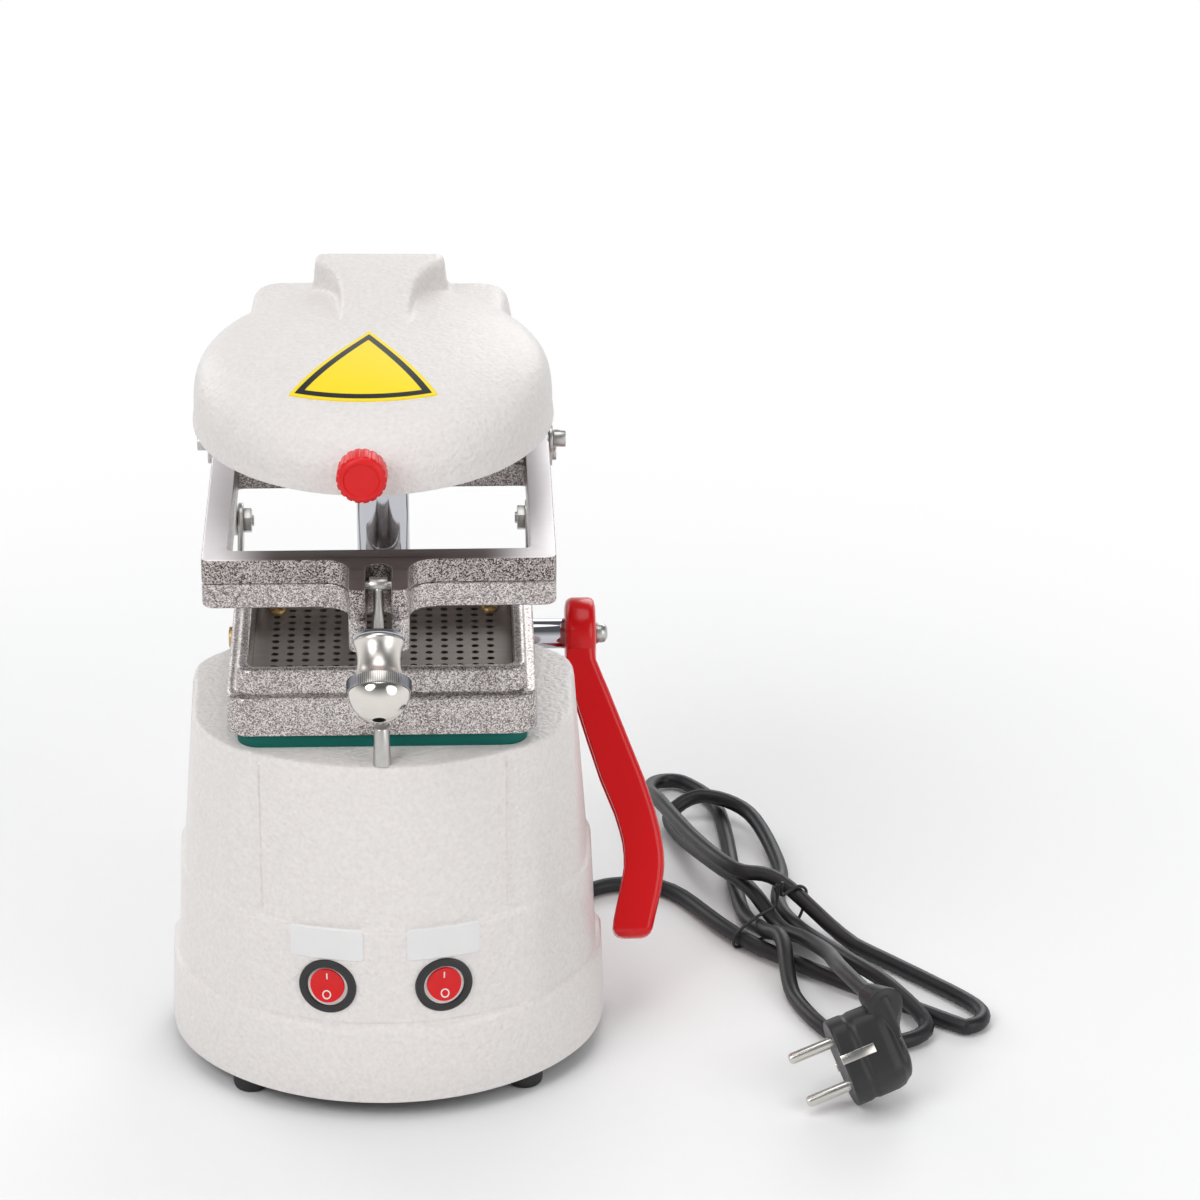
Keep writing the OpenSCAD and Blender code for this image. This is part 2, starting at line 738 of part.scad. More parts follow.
module lever() {
    color([0.72, 0.03, 0.05]) translate([0, 0, shaft_z]) rotate([-lever_lean, 0, 0]) difference() {
        intersection() {
            translate([0, 30, 0]) rotate([90, 0, 0]) linear_extrude(60) polygon(lever_outline());
            translate([50, 0, 0]) rotate([90, 0, 90]) linear_extrude(90) lever_side(0);
        }
        difference() {
            intersection() {
                translate([0, 30, 0]) rotate([90, 0, 0]) linear_extrude(60) polygon(lever_pocket());
                translate([50, 0, 0]) rotate([90, 0, 90]) linear_extrude(90) lever_side(3.5);
            }
            box(0, far, -far, far, -22, far);
        }
        across(0, hub_out - 2 + 0.01, shaft_d + 2 * run_gap);
        across(0, far, 4.4);
    }
}

function lever_pocket() = concat(
    [[0, 0], [hub_out - 3.5, 0], [hub_out - 3.5, -0.095 * lever_len]], [for (p = lever_back()) p - [3.5, 0]],
    [[0, -0.965 * lever_len]]);

module lever_screw() {
    color([0.75, 0.7, 0.6]) translate([0, 0, shaft_z]) {
        across(hub_out - 11, hub_out + 0.5, 3.9);
        translate([hub_out, 0, 0]) rotate([0, 90, 0]) cylinder(h = 5.6, d = 10);
    }
}

// Carriage: lower frame with its guide block and lower lug
module frame_ring(z0, z1) {
    difference() {
        slab(-frame_w / 2, frame_w / 2, -frame_front, window_rear + 2, z0, z1, 4);
        slab(-window_half, window_half, window_front, window_rear, z0 - 1, z1 + 1, 3);
    }
}

// Hollow fillets where a lug grows out of its frame's front
module lug_root(z0, z1) {
    half = lug_w / 2 + lug_fillet;
    front = -frame_front - lug_fillet;
    difference() {
        box(-half, half, front, -frame_front + 1, z0, z1);
        mirrored() translate([half, front, z0 - 1]) cylinder(h = z1 - z0 + 2, r = lug_fillet);
    }
}

module lug(front, z0, z1, gap) {
    back = -frame_front - gap;
    difference() {
        union() {
            box(-lug_w / 2, lug_w / 2, front, back + (gap > 0 ? 0 : 1), z0, z1);
            if (gap == 0) lug_root(max(z0, frame_z), z1);
        }
        box(-lug_slot / 2, lug_slot / 2, front - 1, slot_end, z0 - 1, z1 + 1);
        translate([0, slot_end, z0 - 1]) cylinder(h = z1 - z0 + 2, d = lug_slot);
    }
}

module carriage_frame() {
    slot_in = link_in - 0.5;
    slot_out = link_out + 0.5;
    color([0.74, 0.72, 0.69]) difference() {
        union() {
            frame_ring(frame_z, part_z);
            box(-block_half, block_half, window_rear, wing_rear, frame_z, part_z);
            box(-block_half, block_half, block_front, wing_rear, frame_z, frame_z + block_h);
            translate([0, block_rear, frame_z]) rotate([90, 0, 0]) linear_extrude(block_rear - block_front)
                for (side = [-1, 1]) polygon([for (p = block_flare) [side * p.x, p.y * block_h]]);
            translate([0, 0, frame_z]) cylinder(h = block_h, r = guide_r);
            lug(low_lug_front, lug_bottom, lug_part_z - 0.2, 0);
        }
        translate([0, 0, lug_bottom - 1]) cylinder(h = far, r = column_d / 2 + run_gap);
        mirrored() {
            box(slot_in, slot_out, link_pin.x - 7.2, link_pin.x + 7.2, frame_z - 1, link_pin.y + 7.4);
            box(slot_in, slot_out, link_pin.x, block_rear + 1, frame_z - 1, link_pin.y + 4);
            translate([0, link_pin.x, link_pin.y]) across(slot_in - 6, far, rivet_d + 0.1);
        }
        translate([0, 0, frame_z + block_h - 12]) along_y(0, far, 8.06);
        mirrored() box(guide_r + 4, window_half - 4, block_front + 3.5, wing_rear - 3, -far, frame_z + block_h - 4);
        translate([0, low_lug_front, lug_bottom]) rotate([45, 0, 0]) box(-20, 20, -2, 2, -2, 2);
    }
}

module guide_screw() {
    color([0.1, 0.1, 0.1]) translate([0, 0, frame_z + block_h - 12]) difference() {
        along_y(column_d / 2 + 0.1, block_rear - 1, 8);
        translate([0, block_rear, 0]) rotate([90, 0, 0]) cylinder(h = 6, d = 4.6, $fn = 6);
    }
}

module hinge_plates() {
    color([0.72, 0.72, 0.74]) mirrored() upright(block_half, hinge_plate_t)
        strap(link_pin, hinge_pin, 6.4, rivet_d / 2 + 0.05, 2.05);
}

module link_rivets() {
    color([0.6, 0.6, 0.62]) mirrored() translate([0, link_pin.x, link_pin.y]) {
        across(link_in - 5.5, block_half + hinge_plate_t, rivet_d);
        across(block_half + hinge_plate_t, block_half + hinge_plate_t + 1.8, 8);
    }
}

module link_strap() {
    color([0.75, 0.75, 0.77]) upright(link_in, link_t)
        strap(link_pin, crank_pin, 6.5, rivet_d / 2 + run_gap, crank_bolt_d / 2 + link_gap);
}

module link_left() { mirror([1, 0, 0]) link_strap(); }

module link_right() { link_strap(); }

// Upper frame, hinged at the carriage's plates
module upper_frame() {
    z0 = part_z + 0.2;
    half = frame_w / 2;
    color([0.5, 0.48, 0.46]) difference() {
        union() {
            frame_ring(z0, frame_top);
            box(-half, half, window_rear, arm_rear, z0, frame_top);
            lug(lug_front, lug_part_z, frame_top, face_gap);
            lug(lug_front, z0, frame_top, 0);
        }
        translate([0, 0, z0 - 1]) cylinder(h = far, r = guide_r + 2.2);
        box(-far, far, hinge_pin.x, far, z0 - 1, z0 + 1.4);
        mirrored() translate([0, hinge_pin.x, hinge_pin.y]) across(half - 9, far, 4.02);
        translate([0, pivot.x, pivot.y]) across(-lug_w / 2 - 1, lug_w / 2 + 1, latch_pin_d + 0.04);
    }
}

module hinge_screws() {
    color([0.6, 0.6, 0.62]) mirrored() translate([0, hinge_pin.x, hinge_pin.y]) {
        across(block_half - 8.5, block_half + hinge_plate_t + 1, 4);
        across(block_half + hinge_plate_t + 0.2, block_half + hinge_plate_t + 5.5, 7.4);
    }
}

// Latch: swing bolt, loose washer and ball knob on one tilted axis
module on_bolt() {
    translate([0, pivot.x, pivot.y]) rotate([90 + bolt_dip, 0, 0]) children();
}

module latch_pin() {
    color("silver") translate([0, pivot.x, pivot.y]) across(-lug_w / 2, lug_w / 2, latch_pin_d);
}

module swing_bolt() {
    color("silver") on_bolt() difference() {
        union() {
            across(-3.6, 3.6, 6.4);
            translate([0, 0, 1]) cylinder(h = knob_at + 21, d = bolt_d);
        }
        across(-9, 9, latch_pin_d + 2 * run_gap);
    }
}

module latch_washer() {
    color([0.8, 0.8, 0.82]) on_bolt() translate([0, 0, washer_at]) difference() {
        cylinder(h = washer_t, d = washer_d);
        translate([0, 0, -1]) cylinder(h = 9, d = bolt_d + 2 * run_gap);
    }
}

module ball_knob() {
    ball_at = knob_len - ball_d / 2;
    color([0.85, 0.86, 0.88]) on_bolt() translate([0, 0, knob_at]) difference() {
        union() {
            cylinder(h = 2, d = washer_d - 1);
            translate([0, 0, 2]) cylinder(h = 6, d1 = washer_d - 2, d2 = 2 * knob_waist_r);
            translate([0, 0, 8]) cylinder(h = ball_at - 12, d1 = 2 * knob_waist_r, d2 = ball_d - 5);
            translate([0, 0, ball_at - knurl_w + 1]) cylinder(h = knurl_w, d = knurl_d);
            translate([0, 0, ball_at]) sphere(d = ball_d);
        }
        translate([0, 0, -1]) cylinder(h = far, d = bolt_d + 2 * run_gap);
        translate([0, 0, knob_len - 8]) cylinder(h = far, d = 5.4);
    }
}

// Head: a dome from rings that shrink upward, a rear box and a hood over the column
function dome_share(t, n) = pow(max(0, 1 - pow(t, n)), 1 / n);

function dome_ring(t, grow) = [for (i = [0:47]) let (a = i * 7.5, s = sin(a), n = s < 0 ? 2.6 : 4.6)
    [(dome_a + grow) * dome_share(t, 4.6) * cos(a), dome_y + (dome_b + grow) * dome_share(t, n) * s]];

function dome_levels() = [for (k = [0:9]) sin(k * 9.7)];

function shell_faces(rings, n) = concat([[for (i = [0:n - 1]) i]],
    [for (k = [0:rings - 2], i = [0:n - 1]) let (j = (i + 1) % n) [k * n + i, (k + 1) * n + i, k * n + j]],
    [for (k = [0:rings - 2], i = [0:n - 1]) let (j = (i + 1) % n)
        [k * n + j, (k + 1) * n + i, (k + 1) * n + j]],
    [[for (i = [n - 1:-1:0]) (rings - 1) * n + i]]);

module dome(grow, low) {
    levels = dome_levels();
    points = [for (t = levels, p = dome_ring(t, grow)) [p.x, p.y, lip_z - low + t * (dome_h + low + grow)]];
    polyhedron(points, shell_faces(len(levels), 48), convexity = 4);
}

module head_box(grow, low) {
    $fn = 24;
    hull() {
        translate([0, 0, lip_z - low]) linear_extrude(0.1)
            rounded(-box_half - grow, box_half + grow, -60, box_rear + grow, 8);
        translate([0, 0, lip_z + box_h - 4 + grow]) linear_extrude(0.1)
            rounded(-box_top_half - 1 - grow, box_top_half + 1 + grow, -60, box_rear - 1 + grow, 8);
        translate([0, 0, lip_z + box_h + grow]) linear_extrude(0.1)
            rounded(-box_top_half + 3 - grow, box_top_half - 3 + grow, -60, box_rear - 5 + grow, 8);
    }
}

module hood() {
    hull() {
        box(-31, 31, -10, 20, lip_z + 14, lip_z + 17);
        box(-26, 26, -10, 20, lip_z + 32, lip_z + 33);
        box(-27, 27, 0, 10, lip_z + 42, lip_z + 43);
        box(-14.5, 14.5, -34, -30, lip_z + 20, lip_z + dome_h);
    }
}

module turned_head() { rotate([0, 0, head_turn]) children(); }

module head_cover() {
    color([0.87, 0.85, 0.82]) turned_head() difference() {
        union() {
            difference() {
                union() {
                    dome(0, 0);
                    head_box(0, 0);
                    hood();
                }
                dome(-shell, 1);
                head_box(-shell, 1);
            }
            for (p = head_posts) translate([p.x, p.y, reflector_z + reflector_t])
                cylinder(h = p.z - reflector_z - reflector_t + lip_z, d = 9);
            translate([0, 0, head_knob_z]) along_y(head_boss_front, head_boss_front + 9, 13);
        }
        for (p = head_posts) translate([p.x, p.y, lip_z]) cylinder(h = reflector_z - lip_z + 7, d = 3);
        translate([0, 0, head_knob_z]) along_y(head_boss_front - 1, head_boss_front + 20, 5);
    }
}

module head_reflector() {
    low = (reflector_z - lip_z) / (dome_h - shell);
    edge = -shell - 0.8;
    box_in = box_top_half - shell + 0.3;
    color([0.8, 0.8, 0.8]) turned_head() translate([0, 0, reflector_z]) difference() {
        union() {
            linear_extrude(reflector_t) polygon(dome_ring(low + 0.05, edge));
            linear_extrude(reflector_t) rounded(-box_in, box_in, -50, box_rear - shell - 1.6, 8);
        }
        translate([0, 0, -1]) cylinder(h = 9, r = column_d / 2 + 0.5);
        for (p = head_posts) translate([p.x, p.y, -1]) cylinder(h = 9, d = 3.6);
    }
}

module heater_rods() {
    color([0.82, 0.8, 0.76]) turned_head() for (x = [-heater_x, heater_x]) translate([x, 0, heater_z])
        along_y(heater_front, heater_rear, heater_d);
}

module heater_holders() {
    half = heater_d / 2 + 2;
    color([0.6, 0.6, 0.6]) turned_head()
        for (x = [-heater_x, heater_x], y = [heater_front + 8, heater_rear - 12])
            translate([x, y, heater_z]) difference() {
                box(-half, half, 0, 3, -4, reflector_z - heater_z);
                along_y(-1, 9, heater_d + 0.1);
            }
}

module head_collar() {
    color([0.7, 0.7, 0.7]) turned_head() difference() {
        union() {
            translate([0, 0, lip_z - 3.5]) cylinder(h = 4.5, r = collar_r);
            translate([0, 0, lip_z]) cylinder(h = reflector_z - lip_z, r = sleeve_r);
        }
        translate([0, 0, lip_z - 9]) cylinder(h = far, r = column_d / 2 + run_gap);
    }
}

module head_screws() {
    color("silver") turned_head() for (p = head_posts) translate([p.x, p.y, reflector_z])
        screw(6.4, 2, 2.9, 6);
}

module head_knob() {
    ribs = 18;
    color([0.8, 0.05, 0.04]) turned_head() translate([0, 0, head_knob_z]) {
        along_y(head_boss_front - head_knob_len, head_boss_front - 3, head_knob_d - 2);
        along_y(head_boss_front - 3, head_boss_front, head_knob_d - 6);
        for (a = [0:360 / ribs:359]) rotate([0, a, 0]) translate([head_knob_d / 2 - 1.3, 0, 0])
            along_y(head_boss_front - head_knob_len + 1, head_boss_front - 4, 2.6);
        along_y(head_boss_front - 1, head_boss_front + 12, 4.9);
    }
}

module head_plaque() {
    apex = -62;
    reach = 60;
    color([0.95, 0.8, 0.1]) turned_head() intersection() {
        difference() {
            dome(0.5, 0);
            dome(0, 0);
        }
        translate([0, 0, lip_z + 8]) linear_extrude(far) intersection() {
            translate([0, apex]) circle(reach);
            polygon([[0, apex], [-45, apex - 70], [45, apex - 70]]);
        }
    }
}

// Cord and plug
function spline(a, b, c, d, t) = 0.5 * (2 * b + (c - a) * t + (2 * a - 5 * b + 4 * c - d) * t * t
    + (3 * b - a - 3 * c + d) * t * t * t);

function smooth(p, steps) = let (last = len(p) - 1) concat([for (i = [0:last - 1], k = [0:steps - 1])
    spline(i > 0 ? p[i - 1] : 2 * p[0] - p[1], p[i], p[i + 1],
        i + 2 <= last ? p[i + 2] : 2 * p[last] - p[last - 1], k / steps)], [p[last]]);

function unit(v) = v / norm(v);

function heading(p, i) = unit(p[min(i + 1, len(p) - 1)] - p[max(i - 1, 0)]);

function ring(centre, dir, r, sides) = let (side = unit(cross(dir, [0.001, 0, 1])), up = cross(side, dir))
    [for (k = [0:sides - 1]) let (a = (k + 0.5) * 360 / sides) centre + r * (cos(a) * side + sin(a) * up)];

function tube_points(p, r, sides, first, end) = [for (i = [0:len(p) - 1])
    let (dir = i == 0 && first != undef ? first : i == len(p) - 1 && end != undef ? end : heading(p, i))
    each ring(p[i], dir, r, sides)];

module tube(p, d, sides, first, end) {
    polyhedron(tube_points(p, d / 2, sides, first, end), shell_faces(len(p), sides), convexity = 8);
}

function on_table(p, r) = [for (q = p) [q.x, q.y, max(q.z, r)]];

function route() = on_table(smooth(cord_points, 2), cord_d / 2);

function run_length(p) = len(p) < 2 ? 0 : norm(p[1] - p[0]) + run_length([for (i = [1:len(p) - 1]) p[i]]);

function self_gap(p, d, skip) = min([for (i = [0:len(p) - 1 - skip], j = [i + skip:len(p) - 1])
    norm(p[i] - p[j])]) - d;

module power_cord() {
    p = route();
    dense = smooth(p, 4);
    echo(cord_length = run_length(p), least_self_gap = self_gap(dense, cord_d, 10));
    color([0.05, 0.05, 0.06]) tube(p, cord_d, 8, cord_out, sleeve_dir);
}

module twist_tie() {
    p = smooth([for (q = tie_points) tie_at + q.x * tie_across + [0, 0, q.y]], 2);
    color([0.7, 0.7, 0.72]) tube(on_table(p, tie_d / 2), tie_d, 6);
}

module at_plug() { translate(plug_face) rotate(plug_turn) children(); }

module along_sleeve() {
    translate(plug_end) rotate([0, acos(sleeve_dir.z), atan2(sleeve_dir.y, sleeve_dir.x)]) children();
}

module plug_outline(inset) {
    intersection() {
        circle(plug_r - inset);
        square([2 * plug_r, 2 * (plug_half - inset)], center = true);
    }
}

module plug_body() {
    color([0.05, 0.05, 0.06]) {
        difference() {
            union() {
                at_plug() linear_extrude(plug_depth) plug_outline(0);
                hull() {
                    at_plug() translate([0, 0, plug_depth - 1]) cylinder(h = 1, r = plug_half, $fn = 32);
                    at_plug() translate([-2, 0, plug_depth + 8]) cylinder(h = 1, r = 9, $fn = 32);
                    along_sleeve() translate([0, 0, 17]) cylinder(h = 1, d = 13, $fn = 32);
                }
                along_sleeve() cylinder(h = 17.5, d1 = cord_d + 2, d2 = 12);
            }
            at_plug() for (x = [-pin_row, pin_row]) translate([x, 0, -1]) cylinder(h = 11, d = pin_d + 0.1);
            at_plug() translate([0, 5, -1]) cylinder(h = 15, d = 4.8);
            at_plug() for (y = [-1, 1]) translate([0, y * plug_half, 7]) cube([4.2, 1.2, 16], center = true);
        }
    }
}

module plug_pins() {
    color([0.8, 0.78, 0.75]) at_plug() for (x = [-pin_row, pin_row]) translate([x, 0, 9.5]) {
        mirror([0, 0, 1]) cylinder(h = 9.5 + pin_len - pin_d / 2, d = pin_d);
        translate([0, 0, pin_d / 2 - 9.5 - pin_len]) sphere(d = pin_d);
    }
}

module earth_clips() {
    color([0.8, 0.75, 0.65]) at_plug() for (y = [-1, 1]) translate([0, y * plug_half, 7])
        cube([4, 1, 15], center = true);
}

placed() casing();
placed() base_plate();
placed() base_screws();
placed() feet();
placed() foot_screws();
placed() column();
placed() detent_ball();
placed() front_post();
placed() gasket();
placed() vacuum_tray();
placed() perforated_plate();
placed() tray_screws();
placed() bezel_left();
placed() bezel_right();
placed() rocker_left();
placed() rocker_right();
placed() label_plates();
placed() rating_plate();
placed() cord_gland();
placed() vacuum_motor();
placed() motor_mount();
placed() suction_duct();
placed() terminal_block();
placed() cross_shaft();
placed() shaft_end_screw();
placed() crank_left();
placed() crank_right();
placed() crank_bolts();
placed() crank_nuts();
placed() lever();
placed() lever_screw();
placed() carriage_frame();
placed() guide_screw();
placed() hinge_plates();
placed() link_rivets();
placed() link_left();
placed() link_right();
placed() upper_frame();
placed() hinge_screws();
placed() latch_pin();
placed() swing_bolt();
placed() latch_washer();
placed() ball_knob();
placed() head_cover();
placed() head_reflector();
placed() heater_rods();
placed() heater_holders();
placed() head_collar();
placed() head_screws();
placed() head_knob();
placed() head_plaque();
placed() power_cord();
placed() twist_tie();
placed() plug_body();
placed() plug_pins();
placed() earth_clips();
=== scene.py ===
import math
import bmesh
import bpy
from mathutils import Matrix, Vector


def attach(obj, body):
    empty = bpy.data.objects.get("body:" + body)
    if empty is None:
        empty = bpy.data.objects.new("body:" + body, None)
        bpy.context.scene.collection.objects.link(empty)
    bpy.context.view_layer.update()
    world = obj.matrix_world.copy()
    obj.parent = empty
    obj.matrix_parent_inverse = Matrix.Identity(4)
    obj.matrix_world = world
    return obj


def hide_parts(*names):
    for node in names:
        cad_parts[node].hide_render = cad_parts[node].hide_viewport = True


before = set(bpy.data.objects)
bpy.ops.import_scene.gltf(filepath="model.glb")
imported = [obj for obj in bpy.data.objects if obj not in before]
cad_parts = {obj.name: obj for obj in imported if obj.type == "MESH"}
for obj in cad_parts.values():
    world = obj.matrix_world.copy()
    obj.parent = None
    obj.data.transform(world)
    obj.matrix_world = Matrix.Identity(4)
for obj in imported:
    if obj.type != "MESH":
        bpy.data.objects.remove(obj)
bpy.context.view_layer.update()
mm = 0.001
rearFoot = 15.5    # sizes below are in mm from the column's axis, and the origin is under the rear foot
deckZ = 157.2
shaftZ = 148.3
frameZ = 223.0
partZ = 233.3
frameTop = 243.8
lipZ = 275.0


def place(p):
    return Vector((p[0], p[1] - rearFoot, p[2])) * mm


def makeCamera():
    camera = bpy.data.objects.new("photoCamera", bpy.data.cameras.new("photoCamera"))
    bpy.context.scene.collection.objects.link(camera)
    right = Vector((0.999422, -0.033916, 0.002366))
    up = Vector((0.011323, 0.39768, 0.917454))
    ahead = Vector((0.032057, 0.916897, -0.397834))
    turn = Matrix((right, up, -ahead)).transposed().to_4x4()
    camera.matrix_world = Matrix.Translation(place((26.457, -1876.453, 977.844))) @ turn
    camera.data.lens = 36 * 4784.485 / 1200
    camera.data.sensor_width = 36
    camera.data.clip_end = 20
    bpy.context.scene.camera = camera


def addPiece(name, mesh):
    piece = bpy.data.objects.new(name, mesh)
    bpy.context.scene.collection.objects.link(piece)
    return piece


def meshPiece(name, verts, faces, smooth=True):
    mesh = bpy.data.meshes.new(name)
    mesh.from_pydata([place(v) for v in verts], [], faces)
    mesh.validate()
    piece = addPiece(name, mesh)
    if smooth:
        shadeByAngle(piece, 38)
    return piece


def shadeByAngle(piece, degrees):
    piece.data.shade_smooth()
    piece.data.set_sharp_from_angle(angle=math.radians(degrees))


def toPlain(piece):
    graph = bpy.context.evaluated_depsgraph_get()
    graph.update()
    mesh = bpy.data.meshes.new_from_object(piece.evaluated_get(graph), preserve_all_data_layers=True, depsgraph=graph)
    name = piece.name
    mesh.transform(piece.matrix_world)
    bpy.data.objects.remove(piece)
    return addPiece(name, mesh)


def joined(name, parts, degrees=38):
    merged = bmesh.new()
    for part in parts:
        merged.from_mesh(part.data)
        bpy.data.objects.remove(part)
    mesh = bpy.data.meshes.new(name)
    merged.to_mesh(mesh)
    merged.free()
    piece = addPiece(name, mesh)
    shadeByAngle(piece, degrees)
    return piece


def carved(piece, cutters):
    name = piece.name
    for cutter in cutters:
        tool = piece.modifiers.new("carve", "BOOLEAN")
        tool.operation = "DIFFERENCE"
        tool.solver = "EXACT"
        tool.object = cutter
    piece = toPlain(piece)
    piece.name = name
    for cutter in cutters:
        bpy.data.objects.remove(cutter)
    return piece


def outward(piece, merge=0.00001):
    shape = bmesh.new()
    shape.from_mesh(piece.data)
    bmesh.ops.remove_doubles(shape, verts=shape.verts, dist=merge)
    bmesh.ops.recalc_face_normals(shape, faces=shape.faces)
    shape.to_mesh(piece.data)
    shape.free()
    return piece


def loft(name, rings, closed=False, degrees=38):
    count = len(rings[0])
    verts = [p for ring in rings for p in ring]
    faces = []
    last = len(rings) if closed else len(rings) - 1
    for k in range(last):
        low, high = k * count, (k + 1) % len(rings) * count
        for i in range(count):
            j = (i + 1) % count
            faces.append((low + i, low + j, high + j, high + i))
    if not closed:
        faces.append(tuple(range(count - 1, -1, -1)))
        faces.append(tuple(range((len(rings) - 1) * count, len(rings) * count)))
    return outward(meshPiece(name, verts, faces), 0.000002)


def frameAlong(origin, direction, side=None):
    ahead = Vector(direction).normalized()
    side = Vector(side) if side else Vector((0, 0, 1)) if abs(ahead.z) < 0.9 else Vector((1, 0, 0))
    right = side.cross(ahead).normalized()
    up = ahead.cross(right)
    turn = Matrix((right, up, ahead)).transposed().to_4x4()
    return Matrix.Translation(Vector(origin)) @ turn


def lathe(name, profile, origin, direction, sides=64, degrees=38):
    spot = frameAlong(origin, direction)
    rings = []
    for radius, along in profile:
        ring = [spot @ Vector((radius * math.cos(a), radius * math.sin(a), along))
                for a in (2 * math.pi * i / sides for i in range(sides))]
        rings.append(ring)
    piece = loft(name, rings)
    shadeByAngle(piece, degrees)
    return piece


def roundRing(halfX, front, rear, radius, z, steps=8):
    ring = []
    radius = max(radius, 0.05)
    for cx, cy, start in ((halfX - radius, rear - radius, 0), (-halfX + radius, rear - radius, 90),
                          (-halfX + radius, front + radius, 180), (halfX - radius, front + radius, 270)):
        for k in range(steps + 1):
            a = math.radians(start + 90 * k / steps)
            ring.append((cx + radius * math.cos(a), cy + radius * math.sin(a), z))
    return ring


def softBox(name, low, high, bevel=0.8, segments=3, turn=None, pivot=None):
    shape = bmesh.new()
    bmesh.ops.create_cube(shape, size=1)
    size = Vector(high) - Vector(low)
    centre = (Vector(high) + Vector(low)) / 2
    for v in shape.verts:
        v.co = Vector((v.co.x * size.x, v.co.y * size.y, v.co.z * size.z)) + centre
    bmesh.ops.bevel(shape, geom=shape.edges[:], offset=bevel, segments=segments, profile=0.5, affect="EDGES")
    if turn is not None:
        for v in shape.verts:
            v.co = turn @ v.co
    for v in shape.verts:
        v.co = place(v.co)
    mesh = bpy.data.meshes.new(name)
    shape.to_mesh(mesh)
    shape.free()
    piece = addPiece(name, mesh)
    shadeByAngle(piece, 38)
    return piece


def plate(name, outline, holes, low, high, bevel, spot=None):
    curve = bpy.data.curves.new(name, "CURVE")
    curve.dimensions = "2D"
    curve.fill_mode = "BOTH"
    curve.extrude = max((high - low) / 2 - bevel, 0.001)
    curve.bevel_depth = bevel
    curve.bevel_resolution = 3
    curve.offset = -bevel
    for loop in [outline, *holes]:
        line = curve.splines.new("POLY")
        line.points.add(len(loop) - 1)
        for point, p in zip(line.points, loop):
            point.co = (p[0], p[1], 0, 1)
        line.use_cyclic_u = True
    shown = addPiece(name, curve)
    spot = spot or Matrix.Identity(4)
    shown.matrix_world = (Matrix.Scale(mm, 4) @ Matrix.Translation((0, -rearFoot, 0)) @ spot
                          @ Matrix.Translation((0, 0, (low + high) / 2)))
    bpy.context.view_layer.update()
    piece = outward(toPlain(shown), 0.000002)
    shadeByAngle(piece, 38)
    return piece


def arc(cx, cy, radius, start, end, steps=10):
    return [(cx + radius * math.cos(math.radians(start + (end - start) * k / steps)),
             cy + radius * math.sin(math.radians(start + (end - start) * k / steps))) for k in range(steps + 1)]


def cadCopy(node, name=None):
    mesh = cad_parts[node].data.copy()
    mesh.materials.clear()
    piece = addPiece(name or node + "Shape", mesh)
    shape = bmesh.new()
    shape.from_mesh(mesh)
    bmesh.ops.remove_doubles(shape, verts=shape.verts, dist=0.000005)
    shape.to_mesh(mesh)
    shape.free()
    return piece


def edgedCopy(node, width=0.4, segments=2, name=None):
    piece = cadCopy(node, name)
    shape = bmesh.new()
    shape.from_mesh(piece.data)
    bmesh.ops.dissolve_limit(shape, angle_limit=math.radians(0.6), verts=shape.verts, edges=shape.edges)
    shape.to_mesh(piece.data)
    shape.free()
    soften = piece.modifiers.new("edges", "BEVEL")
    soften.limit_method = "ANGLE"
    soften.angle_limit = math.radians(34)
    soften.width = width * mm
    soften.segments = segments
    soften.use_clamp_overlap = True
    soften.harden_normals = False
    piece = toPlain(piece)
    shadeByAngle(piece, 34)
    return piece


def castCopy(piece, voxel=0.8, rounds=4, degrees=60, keep=None):
    remesh = piece.modifiers.new("cast", "REMESH")
    remesh.mode = "VOXEL"
    remesh.voxel_size = voxel * mm
    smooth = piece.modifiers.new("soft", "SMOOTH")
    smooth.factor = 0.5
    smooth.iterations = rounds
    if keep:
        fewer = piece.modifiers.new("fewer", "DECIMATE")
        fewer.ratio = keep
    piece = toPlain(piece)
    shadeByAngle(piece, degrees)
    return piece


